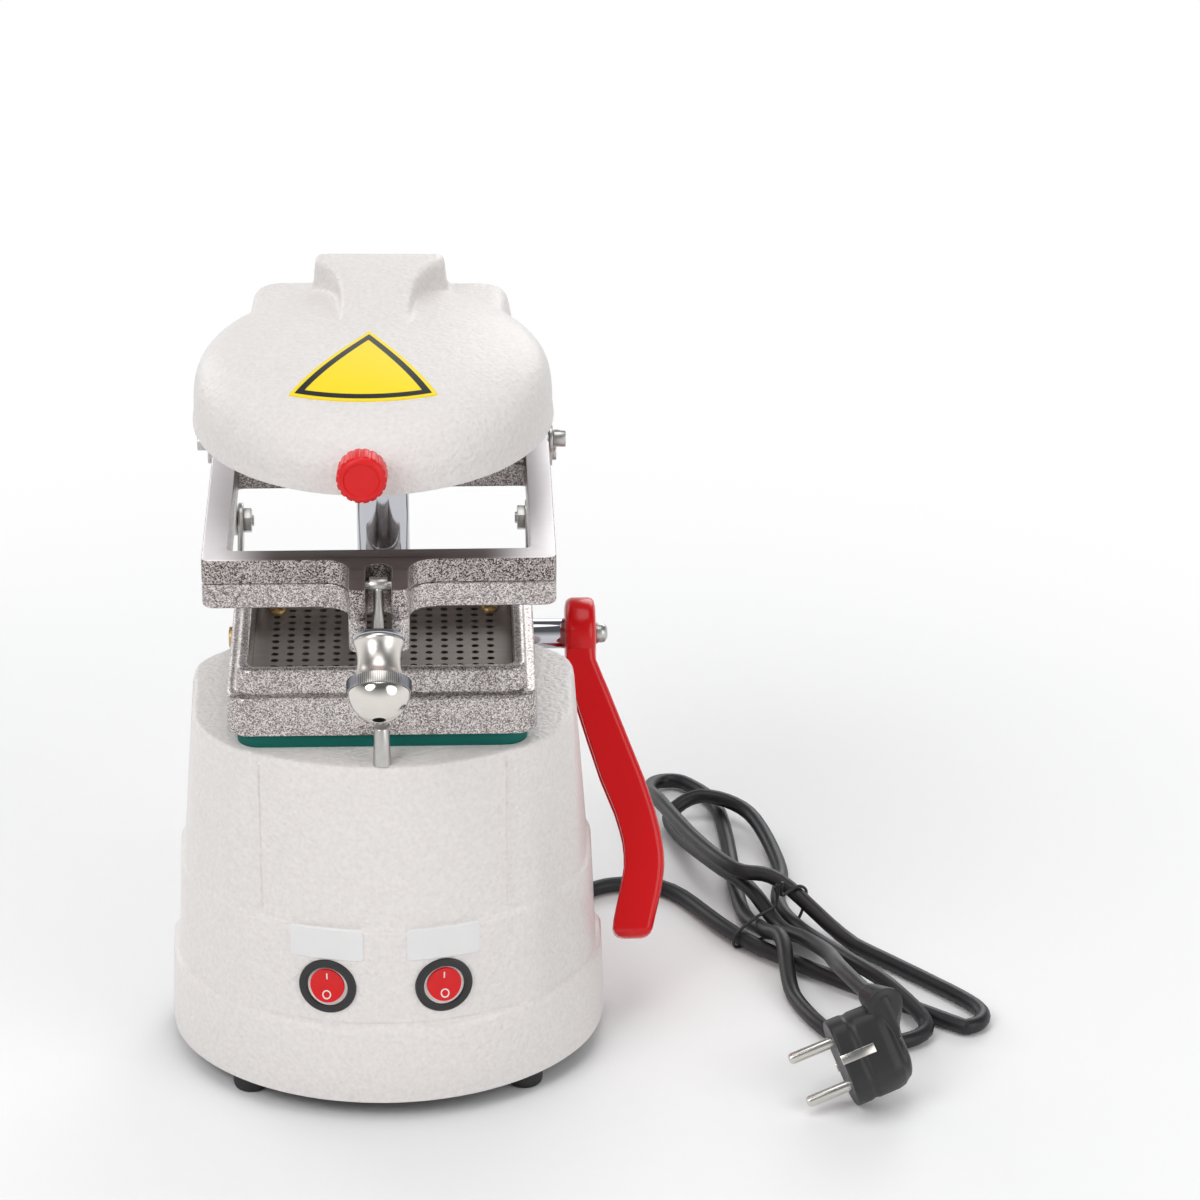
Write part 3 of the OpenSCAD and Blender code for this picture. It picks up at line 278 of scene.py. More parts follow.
def repeatTree():
    tree = bpy.data.node_groups.new("repeatRound", "GeometryNodeTree")
    face = tree.interface
    face.new_socket("Geometry", in_out="INPUT", socket_type="NodeSocketGeometry")
    face.new_socket("Count", in_out="INPUT", socket_type="NodeSocketInt")
    face.new_socket("Radius", in_out="INPUT", socket_type="NodeSocketFloat")
    face.new_socket("Rise", in_out="INPUT", socket_type="NodeSocketFloat")
    face.new_socket("Turn", in_out="INPUT", socket_type="NodeSocketFloat")
    face.new_socket("Finish", in_out="INPUT", socket_type="NodeSocketMaterial")
    face.new_socket("Geometry", in_out="OUTPUT", socket_type="NodeSocketGeometry")
    make, link = tree.nodes.new, tree.links.new
    given, result = make("NodeGroupInput"), make("NodeGroupOutput")
    points = make("GeometryNodePoints")
    index = make("GeometryNodeInputIndex")

    def maths(operation, a, b=0.0):
        node = make("ShaderNodeMath")
        node.operation = operation
        for socket, value in zip(node.inputs, (a, b)):
            if isinstance(value, (int, float)):
                socket.default_value = value
            else:
                link(value, socket)
        return node.outputs[0]

    angle = maths("MULTIPLY", index.outputs[0], given.outputs["Turn"])
    spot = make("ShaderNodeCombineXYZ")
    link(maths("MULTIPLY", maths("COSINE", angle), given.outputs["Radius"]), spot.inputs[0])
    link(maths("MULTIPLY", maths("SINE", angle), given.outputs["Radius"]), spot.inputs[1])
    link(maths("MULTIPLY", index.outputs[0], given.outputs["Rise"]), spot.inputs[2])
    link(given.outputs["Count"], points.inputs["Count"])
    link(spot.outputs[0], points.inputs["Position"])
    turn = make("ShaderNodeCombineXYZ")
    link(angle, turn.inputs[2])
    copies = make("GeometryNodeInstanceOnPoints")
    link(points.outputs[0], copies.inputs["Points"])
    link(given.outputs["Geometry"], copies.inputs["Instance"])
    link(turn.outputs[0], copies.inputs["Rotation"])
    real = make("GeometryNodeRealizeInstances")
    link(copies.outputs[0], real.inputs[0])
    coat = make("GeometryNodeSetMaterial")
    link(real.outputs[0], coat.inputs[0])
    link(given.outputs["Finish"], coat.inputs["Material"])
    link(coat.outputs[0], result.inputs[0])
    return tree


def scatterTree():
    tree = bpy.data.node_groups.new("headsOnPoints", "GeometryNodeTree")
    face = tree.interface
    face.new_socket("Geometry", in_out="INPUT", socket_type="NodeSocketGeometry")
    face.new_socket("Head", in_out="INPUT", socket_type="NodeSocketObject")
    face.new_socket("Finish", in_out="INPUT", socket_type="NodeSocketMaterial")
    face.new_socket("Seed", in_out="INPUT", socket_type="NodeSocketInt")
    face.new_socket("Geometry", in_out="OUTPUT", socket_type="NodeSocketGeometry")
    make, link = tree.nodes.new, tree.links.new
    given, result = make("NodeGroupInput"), make("NodeGroupOutput")
    head = make("GeometryNodeObjectInfo")
    link(given.outputs["Head"], head.inputs["Object"])
    spin = make("FunctionNodeRandomValue")
    spin.data_type = "FLOAT"
    spin.inputs["Max"].default_value = 6.28
    link(given.outputs["Seed"], spin.inputs["Seed"])
    turn = make("ShaderNodeCombineXYZ")
    link(spin.outputs[1], turn.inputs[2])
    copies = make("GeometryNodeInstanceOnPoints")
    link(given.outputs["Geometry"], copies.inputs["Points"])
    link(head.outputs["Geometry"], copies.inputs["Instance"])
    link(turn.outputs[0], copies.inputs["Rotation"])
    real = make("GeometryNodeRealizeInstances")
    link(copies.outputs[0], real.inputs[0])
    coat = make("GeometryNodeSetMaterial")
    link(real.outputs[0], coat.inputs[0])
    link(given.outputs["Finish"], coat.inputs["Material"])
    link(coat.outputs[0], result.inputs[0])
    return tree


trees = {}


def withTree(piece, kind, **inputs):
    if kind not in trees:
        trees[kind] = repeatTree() if kind == "round" else scatterTree()
    modifier = piece.modifiers.new(kind, "NODES")
    modifier.node_group = trees[kind]
    names = {s.name: s.identifier for s in trees[kind].interface.items_tree if s.in_out == "INPUT"}
    for key, value in inputs.items():
        modifier[names[key]] = value
    return toPlain(piece)


def repeated(tooth, spot, count, radius=0.0, rise=0.0, turn=None, finish=None):
    turn = 2 * math.pi / count if turn is None else turn
    piece = withTree(tooth, "round", Count=count, Radius=radius * mm, Rise=rise * mm, Turn=turn, Finish=finish)
    piece.data.transform(Matrix.Scale(mm, 4) @ Matrix.Translation((0, -rearFoot, 0)) @ spot @ Matrix.Scale(1 / mm, 4))
    shadeByAngle(piece, 38)
    return piece


def localPiece(name, verts, faces):
    mesh = bpy.data.meshes.new(name)
    mesh.from_pydata([Vector(v) * mm for v in verts], [], faces)
    return outward(addPiece(name, mesh), 0.000001)


def localBox(name, low, high, bevel=0.2, segments=2):
    shape = bmesh.new()
    bmesh.ops.create_cube(shape, size=1)
    size = Vector(high) - Vector(low)
    centre = (Vector(high) + Vector(low)) / 2
    for v in shape.verts:
        v.co = Vector((v.co.x * size.x, v.co.y * size.y, v.co.z * size.z)) + centre
    if bevel:
        bmesh.ops.bevel(shape, geom=shape.edges[:], offset=bevel, segments=segments, profile=0.5, affect="EDGES")
    for v in shape.verts:
        v.co = v.co * mm
    mesh = bpy.data.meshes.new(name)
    shape.to_mesh(mesh)
    shape.free()
    return addPiece(name, mesh)


class Wire:
    def __init__(self, kit, socket):
        self.kit, self.socket = kit, socket

    def mix(self, operation, a, b):
        return self.kit.add("ShaderNodeMath", {"operation": operation}, {0: a, 1: b})

    def __add__(self, other): return self.mix("ADD", self, other)
    def __radd__(self, other): return self.mix("ADD", other, self)
    def __sub__(self, other): return self.mix("SUBTRACT", self, other)
    def __rsub__(self, other): return self.mix("SUBTRACT", other, self)
    def __mul__(self, other): return self.mix("MULTIPLY", self, other)
    def __rmul__(self, other): return self.mix("MULTIPLY", other, self)
    def __truediv__(self, other): return self.mix("DIVIDE", self, other)
    def __pow__(self, other): return self.mix("POWER", self, other)
    def __gt__(self, other): return self.mix("GREATER_THAN", self, other)
    def __lt__(self, other): return self.mix("LESS_THAN", self, other)


class Finish:
    def __init__(self, name):
        self.material = bpy.data.materials.new(name)
        self.material.use_nodes = True
        self.tree = self.material.node_tree
        self.tree.nodes.clear()
        self.shader = self.tree.nodes.new("ShaderNodeBsdfPrincipled")
        out = self.tree.nodes.new("ShaderNodeOutputMaterial")
        self.tree.links.new(self.shader.outputs[0], out.inputs[0])
        self.spots = self.add("ShaderNodeTexCoord", {}, {}, "Object")

    def add(self, kind, settings, values, output=0):
        node = self.tree.nodes.new(kind)
        for key, value in settings.items():
            if key == "stops":
                ramp = node.color_ramp
                while len(ramp.elements) < len(value):
                    ramp.elements.new(0.5)
                for element, (position, colour) in zip(ramp.elements, value):
                    element.position = position
                    element.color = (*colour, 1) if len(colour) == 3 else colour
            else:
                setattr(node, key, value)
        for key, value in values.items():
            socket = node.inputs[key]
            if isinstance(value, Wire):
                self.tree.links.new(value.socket, socket)
            elif value is not None:
                socket.default_value = value
        return Wire(self, node.outputs[output])

    def put(self, **values):
        names = {"base": "Base Color", "rough": "Roughness", "metal": "Metallic", "coat": "Coat Weight",
                 "coatRough": "Coat Roughness", "normal": "Normal", "specular": "Specular IOR Level",
                 "glow": "Emission Color", "glowStrength": "Emission Strength", "sheen": "Sheen Weight"}
        for key, value in values.items():
            socket = self.shader.inputs[names[key]]
            if isinstance(value, Wire):
                self.tree.links.new(value.socket, socket)
            else:
                socket.default_value = (*value, 1) if isinstance(value, tuple) and len(value) == 3 else value
        return self.material

    def noise(self, scale, detail=2.0, rough=0.5, spots=None):
        return self.add("ShaderNodeTexNoise", {}, {"Vector": spots or self.spots, "Scale": scale, "Detail": detail,
                                                   "Roughness": rough}, 0)

    def cells(self, scale, feature="F1", output="Distance", spots=None):
        return self.add("ShaderNodeTexVoronoi", {"feature": feature}, {"Vector": spots or self.spots, "Scale": scale},
                        output)

    def ramp(self, factor, stops):
        return self.add("ShaderNodeValToRGB", {"stops": stops}, {"Fac": factor})

    def blend(self, factor, a, b):
        a = (*a, 1) if isinstance(a, tuple) and len(a) == 3 else a
        b = (*b, 1) if isinstance(b, tuple) and len(b) == 3 else b
        return self.add("ShaderNodeMix", {"data_type": "RGBA"}, {0: factor, 6: a, 7: b}, 2)

    def mixed(self, operation, a, b):
        return a.mix(operation, a, b)

    def bump(self, height, strength=0.3, distance=0.0005, normal=None):
        return self.add("ShaderNodeBump", {}, {"Height": height, "Strength": strength, "Distance": distance,
                                              "Normal": normal})

    def stretched(self, scale):
        return self.add("ShaderNodeMapping", {}, {"Vector": self.spots, "Scale": scale})

    def axis(self, name):
        split = self.tree.nodes.new("ShaderNodeSeparateXYZ")
        self.tree.links.new(self.spots.socket, split.inputs[0])
        return Wire(self, split.outputs[name])


def makeFinishes():
    made = {}

    # painted light: the base's copy of the enamel is painted 1.12 times brighter than the head's copy of the same paint
    for name, key, paintedLightGain, rough in (("hammertoneEnamel", "enamel", 1.0, 0.42), ("baseEnamel", "baseEnamel", 1.12, 0.34)):
        f = Finish(name)
        grain = f.noise(620, 1.5, 0.4)
        pits = f.cells(430, "SMOOTH_F1")
        cloud = f.noise(14, 2, 0.5)
        shade = f.blend(f.ramp(grain * 0.7 + pits * 0.3, [(0.3, (0, 0, 0)), (0.62, (1, 1, 1))]),
                        (0.725 * paintedLightGain, 0.69 * paintedLightGain, 0.67 * paintedLightGain), (0.785 * paintedLightGain, 0.75 * paintedLightGain, 0.73 * paintedLightGain))
        shade = f.blend(cloud * 0.25, shade, (0.74 * paintedLightGain, 0.70 * paintedLightGain, 0.68 * paintedLightGain))
        normal = f.bump(grain * 0.9 - pits * 0.8, 0.7, 0.0007)
        made[key] = f.put(base=shade, rough=rough + 0.1 * grain, specular=0.3, coat=0.12, coatRough=0.2,
                          normal=normal)

    f = Finish("sparkleCast")
    flakes = f.cells(2300, "F1", "Color")
    fleck = f.add("ShaderNodeSeparateColor", {}, {0: flakes})
    cloud = f.noise(45, 3, 0.55)
    grit = f.noise(900, 2, 0.6)
    castShade = f.blend(f.ramp(fleck * 0.7 + cloud * 0.4, [(0.28, (0, 0, 0)), (0.85, (1, 1, 1))]),
                        (0.17, 0.145, 0.14), (0.82, 0.765, 0.745))
    normal = f.bump(grit + fleck * 0.5, 0.3, 0.0002)
    made["castNickel"] = f.put(base=castShade, metal=0.85, rough=0.28 + 0.16 * cloud, normal=normal)

    f = Finish("machinedTop")
    flakes = f.cells(2300, "F1", "Color")
    fleck = f.add("ShaderNodeSeparateColor", {}, {0: flakes})
    cloud = f.noise(45, 3, 0.55)
    # painted reflection: the upper frame's cast faces get a darker copy of the cast speckle than sparkleCast on the
    # carriage, standing in for darker reflections
    castShade = f.blend(f.ramp(fleck * 0.7 + cloud * 0.4, [(0.32, (0, 0, 0)), (0.82, (1, 1, 1))]),
                        (0.055, 0.042, 0.040), (0.66, 0.60, 0.58))
    lines = f.noise(420, 3, 0.6, f.stretched((0.06, 1.0, 1.0)))
    milledWithPaintedReflection = f.blend(lines * 0.6 + cloud * 0.3, (0.84, 0.79, 0.80), (0.94, 0.90, 0.91))
    # painted reflection on the top face: the side and rear bars are painted bright and the front bar dark
    side = f.add("ShaderNodeMapRange", {"interpolation_type": "SMOOTHSTEP"},
                 {0: (f.axis("X") * f.axis("X")) ** 0.5, 1: 0.040, 2: 0.066})
    back = f.add("ShaderNodeMapRange", {"interpolation_type": "SMOOTHSTEP"}, {0: f.axis("Y"), 1: -0.146, 2: -0.128})
    milledWithPaintedReflection = f.blend(side + back, f.blend(lines * 0.5, (0.085, 0.062, 0.060), (0.15, 0.12, 0.115)), milledWithPaintedReflection)
    top = f.axis("Z") > (frameTop - 0.35) * mm
    made["machinedTop"] = f.put(base=f.blend(top, castShade, milledWithPaintedReflection), metal=0.9 - 0.7 * top, rough=0.3 + 0.12 * top + 0.1 * cloud,
                                normal=f.bump((fleck + f.noise(900, 2, 0.6)) * (1 - top) + lines * 0.3, 0.26, 0.0002))

    f = Finish("machinedFace")
    lines = f.noise(420, 3, 0.6, f.stretched((0.06, 1.0, 1.0)))
    wear = f.noise(30, 3, 0.6)
    shade = f.blend(lines * 0.6 + wear * 0.3, (0.20, 0.19, 0.18), (0.42, 0.40, 0.375))
    made["machined"] = f.put(base=shade, metal=1.0, rough=0.16 + 0.16 * wear, normal=f.bump(lines, 0.12, 0.0002))

    f = Finish("satinSteel")
    lines = f.noise(520, 3, 0.6, f.stretched((1.0, 0.15, 0.6)))
    wear = f.noise(60, 3, 0.6)
    shade = f.blend(lines * 0.5 + wear * 0.35, (0.42, 0.41, 0.39), (0.68, 0.67, 0.65))
    made["steel"] = f.put(base=shade, metal=1.0, rough=0.24 + 0.18 * wear, normal=f.bump(lines, 0.12, 0.0002))

    f = Finish("polishedChrome")
    haze = f.noise(35, 3, 0.6)
    made["chrome"] = f.put(base=f.blend(haze * 0.5, (0.55, 0.555, 0.59), (0.44, 0.445, 0.475)), metal=1.0,
                           rough=0.035 + 0.05 * haze, normal=f.bump(f.noise(200, 2), 0.015, 0.0002))

    for name, key, rough in (("satinNickel", "satinNickel", 0.27), ("warmNickel", "warmNickel", 0.07)):
        f = Finish(name)
        turned = f.noise(380, 2, 0.5)
        haze = f.noise(60, 3, 0.6)
        made[key] = f.put(base=f.blend(haze * 0.6, (0.78, 0.745, 0.70), (0.62, 0.585, 0.54)), metal=1.0,
                          rough=rough + 0.08 * haze, normal=f.bump(turned, 0.04, 0.0002))

    f = Finish("redEnamel")
    peel = f.noise(150, 2, 0.4)
    cloud = f.noise(18, 2, 0.5)
    made["redEnamel"] = f.put(base=f.blend(cloud * 0.5, (0.74, 0.002, 0.005), (0.64, 0.001, 0.004)),
                              rough=0.22 + 0.08 * cloud, specular=0.3, coat=0.2, coatRough=0.08, normal=f.bump(peel, 0.10, 0.0006))

    f = Finish("redPlastic")
    fine = f.noise(300, 2, 0.5)
    made["redPlastic"] = f.put(base=f.blend(fine * 0.3, (0.74, 0.010, 0.012), (0.60, 0.008, 0.01)),
                               rough=0.32 + 0.12 * fine, specular=0.35, normal=f.bump(fine, 0.05, 0.0003))

    f = Finish("blackPlastic")
    fine = f.noise(900, 2, 0.6)
    haze = f.noise(40, 3, 0.5)
    made["blackPlastic"] = f.put(base=f.blend(haze * 0.5, (0.014, 0.014, 0.015), (0.03, 0.03, 0.031)),
                                 rough=0.36 + 0.16 * haze, normal=f.bump(fine, 0.08, 0.0002))

    f = Finish("footRubber")
    fine = f.noise(700, 3, 0.6)
    dust = f.noise(60, 3, 0.6)
    made["rubber"] = f.put(base=f.blend(dust * 0.5, (0.012, 0.012, 0.012), (0.035, 0.034, 0.033)),
                           rough=0.58 + 0.2 * dust, normal=f.bump(fine, 0.15, 0.0003))

    f = Finish("tealGasket")
    fine = f.noise(500, 3, 0.6)
    dust = f.noise(50, 3, 0.6)
    made["gasket"] = f.put(base=f.blend(dust * 0.5, (0.001, 0.13, 0.105), (0.004, 0.17, 0.14)),
                           rough=0.45 + 0.2 * dust, specular=0.25, normal=f.bump(fine, 0.12, 0.0003))

    f = Finish("cordSheath")
    fine = f.noise(600, 2, 0.5)
    haze = f.noise(70, 3, 0.5)
    made["sheath"] = f.put(base=f.blend(haze * 0.5, (0.006, 0.006, 0.008), (0.018, 0.018, 0.021)),
                           rough=0.34 + 0.18 * haze, normal=f.bump(fine, 0.06, 0.0002))

    f = Finish("softBrass")
    haze = f.noise(90, 3, 0.6)
    made["brass"] = f.put(base=f.blend(haze, (0.60, 0.42, 0.18), (0.45, 0.31, 0.14)), metal=1.0,
                          rough=0.24 + 0.2 * haze, normal=f.bump(f.noise(600), 0.06, 0.0002))

    f = Finish("contactNickel")
    haze = f.noise(120, 3, 0.6)
    made["contact"] = f.put(base=f.blend(haze, (0.74, 0.72, 0.68), (0.58, 0.56, 0.52)), metal=1.0,
                            rough=0.16 + 0.16 * haze, normal=f.bump(f.noise(600), 0.04, 0.0002))

    f = Finish("blackedSteel")
    haze = f.noise(80, 3, 0.6)
    made["darkSteel"] = f.put(base=f.blend(haze, (0.018, 0.018, 0.019), (0.045, 0.044, 0.043)), metal=0.3,
                              rough=0.36 + 0.2 * haze, normal=f.bump(f.noise(500), 0.08, 0.0002))

    f = Finish("printedBlack")
    haze = f.noise(60, 3, 0.6)
    made["platePrint"] = f.put(base=f.blend(haze, (0.012, 0.012, 0.013), (0.024, 0.024, 0.025)),
                               rough=0.28 + 0.14 * haze, coat=0.2, normal=f.bump(f.noise(400), 0.03, 0.0002))

    f = Finish("plateYellow")
    haze = f.noise(50, 3, 0.6)
    made["plateYellow"] = f.put(base=f.blend(haze * 0.4, (0.95, 0.74, 0.012), (0.90, 0.66, 0.01)),
                                rough=0.32 + 0.14 * haze, normal=f.bump(f.noise(500), 0.04, 0.0002))

    f = Finish("labelWhite")
    haze = f.noise(40, 3, 0.6)
    made["label"] = f.put(base=f.blend(haze * 0.6, (0.86, 0.86, 0.85), (0.78, 0.78, 0.77)), rough=0.4 + 0.12 * haze,
                          normal=f.bump(f.noise(600), 0.03, 0.0002))

    f = Finish("firedCeramic")
    haze = f.noise(70, 4, 0.6)
    made["ceramic"] = f.put(base=f.blend(haze, (0.72, 0.68, 0.60), (0.56, 0.50, 0.42)), rough=0.6 + 0.2 * haze,
                            normal=f.bump(f.noise(400, 3), 0.2, 0.0003))

    f = Finish("brightSheet")
    lines = f.noise(300, 3, 0.6, f.stretched((1.0, 0.08, 1.0)))
    made["bright"] = f.put(base=f.blend(lines, (0.62, 0.62, 0.62), (0.78, 0.78, 0.78)), metal=1.0,
                           rough=0.22 + 0.16 * lines, normal=f.bump(lines, 0.10, 0.0002))

    f = Finish("sievePlate")
    lines = f.noise(260, 3, 0.6, f.stretched((0.1, 1.0, 1.0)))
    stain = f.noise(35, 4, 0.6)
    made["sieve"] = f.put(base=f.blend(lines * 0.5 + stain * 0.5, (0.24, 0.21, 0.19), (0.44, 0.40, 0.37)), metal=1.0,
                          rough=0.26 + 0.22 * stain, normal=f.bump(lines, 0.10, 0.0002))
    return made


def done(piece, body, finish, slot, *nodes):
    if finish and not any(piece.data.materials):
        piece.data.materials.append(finish)
    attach(piece, body)
    if nodes:
        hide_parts(*nodes)
    return piece


def dress(node, finish):
    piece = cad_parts[node]
    if not piece.material_slots:
        piece.data.materials.append(finish)
    for held in piece.material_slots:
        held.material = finish


cordSizes = {"diameter": 6.8, "sides": 14, "steps": 6}
cordPoints = [
    (47.157, 1.157, 17.2), (60, 14, 13), (78, 33, 4), (100, 47, 3.6), (126, 40, 3.6), (161, -17, 4.8), (234, -82, 3.6),
    (247, -90, 3.6), (253, -79, 3.6), (242, -60, 3.6), (204, -15, 3.6), (173, 18, 19), (154, 26, 21), (138, 60, 19),
    (124, 108, 15), (120, 138, 7), (126, 153, 4), (139, 149, 4), (152, 118, 3.6), (156, 24, 3.6), (164, -9, 9),
    (171, -27, 13), (174, -62, 3.6), (190, -98, 3.6), (213, -104, 3.6), (228, -92, 5), (214, -68, 12),
    (198, -42, 11.5), (181, -2, 5.2), (173, 24, 5), (176, 62, 3.6), (165, 107, 9), (144, 121, 11.5), (129, 114, 6),
    (132, 96, 4), (146, 52, 11), (160, 24, 12.5), (172, -1, 6), (181, -22, 11), (188, -56, 22), (190, -96, 36),
    (198.8, -129.1, 40.8)]
tiePoints = [(5, 25), (4.6, 18.7), (9.5, 19.2), (14.5, 20), (18.8, 17), (18.8, 12), (15.6, 4.6), (11.2, 0.7), (-2, 0.7),
             (-17.5, 0.7), (-22.4, 2.3), (-22, 7), (-17, 10), (-9, 12.6), (0, 14), (2.2, 18.7), (0.5, 24)]
plugFace = Vector((186.4, -147.8, 18.2))
plugEnd = Vector((198.8, -129.1, 40.8))
sleeveAim = Vector((0.362, -0.925, 0.121)).normalized()
plugTurn = (Matrix.Rotation(math.radians(124.7), 4, "Z") @ Matrix.Rotation(math.radians(-50), 4, "Y")
            @ Matrix.Rotation(math.radians(62), 4, "X"))
plugSpot = Matrix.Translation(plugFace) @ plugTurn


def spline(points, steps, lowest):
    points = [Vector(p) for p in points]
    way = []
    for i in range(len(points) - 1):
        a = points[i - 1] if i else 2 * points[0] - points[1]
        b, c = points[i], points[i + 1]
        d = points[i + 2] if i + 2 < len(points) else 2 * points[-1] - points[-2]
        for k in range(steps):
            t = k / steps
            way.append(0.5 * (2 * b + (c - a) * t + (2 * a - 5 * b + 4 * c - d) * t * t
                              + (3 * b - a - 3 * c + d) * t ** 3))
    way.append(points[-1])
    for p in way:
        p.z = max(p.z, lowest)
    return way


def tube(name, way, radius, sides, first=None, end=None, widths=None):
    rings = []
    side = None
    for i, p in enumerate(way):
        ahead = (way[min(i + 1, len(way) - 1)] - way[max(i - 1, 0)]).normalized()
        ahead = first if i == 0 and first else end if i == len(way) - 1 and end else ahead
        side = (Vector((0, 0, 1)).cross(ahead) if side is None else side - ahead * side.dot(ahead)).normalized()
        up = ahead.cross(side)
        r = widths[i] if widths else radius
        rings.append([p + r * (math.cos(a) * side + math.sin(a) * up)
                      for a in (2 * math.pi * k / sides for k in range(sides))])
    return loft(name, rings, degrees=60)


def makeCord(finishes):
    way = spline(cordPoints, cordSizes["steps"], cordSizes["diameter"] / 2)
    first = Vector((math.sqrt(0.5), math.sqrt(0.5), 0))
    piece = tube("mainsCord", way, cordSizes["diameter"] / 2, cordSizes["sides"], first, sleeveAim)
    done(piece, "base", finishes["sheath"], "cord_sheath", "power_cord")
    length = sum((way[i + 1] - way[i]).length for i in range(len(way) - 1)) * mm
    print("cord length", round(length, 4))
    return piece, way, length


def makeTie(finishes):
    across = Vector((0.8, 0.6, 0))
    points = [Vector((169, 2, 0)) + across * p[0] + Vector((0, 0, p[1])) for p in tiePoints]
    way = spline(points, 4, 0.7)
    piece = tube("tieWire", way, 0.7, 8)
    tail = []
    for turn in (0, math.pi):
        strand = []
        for k in range(25):
            a = turn + k * 0.75
            middle = Vector((169, 2, 0)) + across * (2.75 - 0.02 * k) + Vector((0, 0, 19.2 + 0.235 * k))
            reach = 0.55 + 0.2 * (k / 24) ** 2
            strand.append(middle + across * math.cos(a) * reach + Vector((0.6, -0.8, 0)) * math.sin(a) * reach)
        tail.append(tube("tieTail", strand, 0.4, 8))
    piece = joined("tieWire", [piece, *tail], 60)
    return done(piece, "base", finishes["darkSteel"], "black_steel", "twist_tie")


def plugLoop(inset, z, count=64):
    ring = []
    radius, half = 18.8 - inset, 14 - inset
    for i in range(count):
        a = 2 * math.pi * i / count
        c, s = math.cos(a), math.sin(a)
        reach = (abs(1 / radius) ** 14 + abs(s / half) ** 14) ** (-1 / 14)
        ring.append(plugSpot @ Vector((reach * c, reach * s, z)))
    return ring


def makePlug(finishes):
    rows = [(9, 0.6), (1.2, 0), (0.3, 0.15), (0, 0.9), (0, 7), (0.5, 7.8), (0.5, 9.2), (0, 10), (0.1, 19), (0.8, 22),
            (2.4, 24)]
    rings = [plugLoop(inset, z) for inset, z in rows]
    neckAim = frameAlong(plugEnd, sleeveAim, plugTurn @ Vector((0, 1, 0)))
    shoulder = rings[-1]
    neck = [plugEnd + sleeveAim * 17.5 + 6.1 * (p - (plugSpot @ Vector((0, 0, 24)))).normalized() for p in shoulder]
    flat = [plugEnd + sleeveAim * 17.5 + ((p - plugEnd - sleeveAim * 17.5)
            - sleeveAim * (p - plugEnd - sleeveAim * 17.5).dot(sleeveAim)).normalized() * 6.1 for p in neck]
    middle = plugSpot @ Vector((0, 0, 24))
    axis = plugTurn @ Vector((0, 0, 1))
    for k in range(1, 9):
        t = k / 9
        ease = t * t * (3 - 2 * t)
        lift = axis * (9.5 * math.sin(t * math.pi * 0.5) * (1 - t))
        rings.append([a.lerp(b, ease) + lift for a, b in zip(shoulder, flat)])
    rings.append(flat)
    body = loft("plugShell", rings)
    body = castCopy(body, 0.55, 3)
    sleeveRows = [(6.0, 17.6)]
    for k in range(7):
        at = 15.6 - 2.2 * k
        wide = 4.5 + 0.225 * (at - 1)
        sleeveRows += [(wide + 0.25, at + 0.8), (wide + 0.25, at - 0.5), (wide - 0.75, at - 0.75), (wide - 0.75, at - 1.2)]
    sleeveRows += [(4.3, 0.9), (4.1, 0.15), (3.5, 0.05)]
    sleeve = lathe("plugSleeve", [(r, z) for r, z in reversed(sleeveRows)], plugEnd, sleeveAim, 40)
    piece = joined("plugMoulding", [body, sleeve], 45)
    done(piece, "base", finishes["blackPlastic"], "black_plastic", "plug_body")
    pins = []
    for x in (-9.5, 9.5):
        profile = [(0.1, 9.4), (2.4, 9.4), (2.4, -17.2), (2.1, -18.3), (1.3, -18.85), (0.1, -18.99)]
        pins.append(lathe("pin", profile, plugSpot @ Vector((x, 0, 0)), axis, 32))
    pin = joined("plugPinsTurned", pins, 40)
    done(pin, "base", finishes["contact"], "brass", "plug_pins")
    clips = []
    for y in (-1, 1):
        clip = localBox("clip", (-2, y * 14 - 0.5, -0.4), (2, y * 14 + 0.5, 14.4), 0.25)
        clip.data.transform(Matrix.Scale(mm, 4) @ Matrix.Translation((0, -rearFoot, 0)) @ plugSpot @ Matrix.Scale(1 / mm, 4))
        clips.append(clip)
    clip = joined("earthSprings", clips, 40)
    done(clip, "base", finishes["contact"], "brass", "earth_clips")
    return piece, pin, clip


makeCamera()
finishes = makeFinishes()
cordPiece, cordWay, cordLength = makeCord(finishes)
tiePiece = makeTie(finishes)
plugPieces = makePlug(finishes)
tuple(place((54.6, 17.15, 17.2)))
[tuple(place(p)) for p in cordWay]
print("cord and plug made")


baseSizes = {"half": 94.1, "front": 157.6, "rear": 27.0, "rearHalf": 10.0, "rings": 256, "soft": 26}


def planPoint(a, inward, frontIn, rearIn, corner, cutRear):
    c, s = math.cos(a), math.sin(a)
    cy = -62.0
    half = baseSizes["half"] - inward
    soft = baseSizes["soft"]
    terms = [abs(c) / half]
    radius = baseSizes["half"]
    centre = -baseSizes["front"] + frontIn + radius
    d = cy - centre
    if s < 0.2:
        b = d * s
        terms.append(1 / (-b + math.sqrt(max(b * b - d * d + radius * radius, 1))) if s < 0
                     else 1 / (radius + 200 * s))
    if corner > 0:
        flatFront = (s < 0) * (-s) / (-baseSizes["front"] + frontIn - cy) * -1
        terms.append(max(flatFront, 0) * 0.001)
    rear = baseSizes["rear"] - rearIn
    reach = baseSizes["rearHalf"] + rear - cy
    if s > 0:
        terms.append(s / (rear - cy))
        if cutRear is not None:
            terms.append(s / (cutRear - cy))
    slope = abs(c) + s
    if slope > 0:
        terms.append(slope / reach)
    if cutRear is not None and s > 0:
        return 1 / max(max(terms), (sum(t ** soft for t in terms if t > 0)) ** (1 / soft)) * Vector((c, s)) + Vector((0, cy))
    r = (sum(t ** soft for t in terms if t > 0)) ** (-1 / soft)
    return r * Vector((c, s)) + Vector((0, cy))


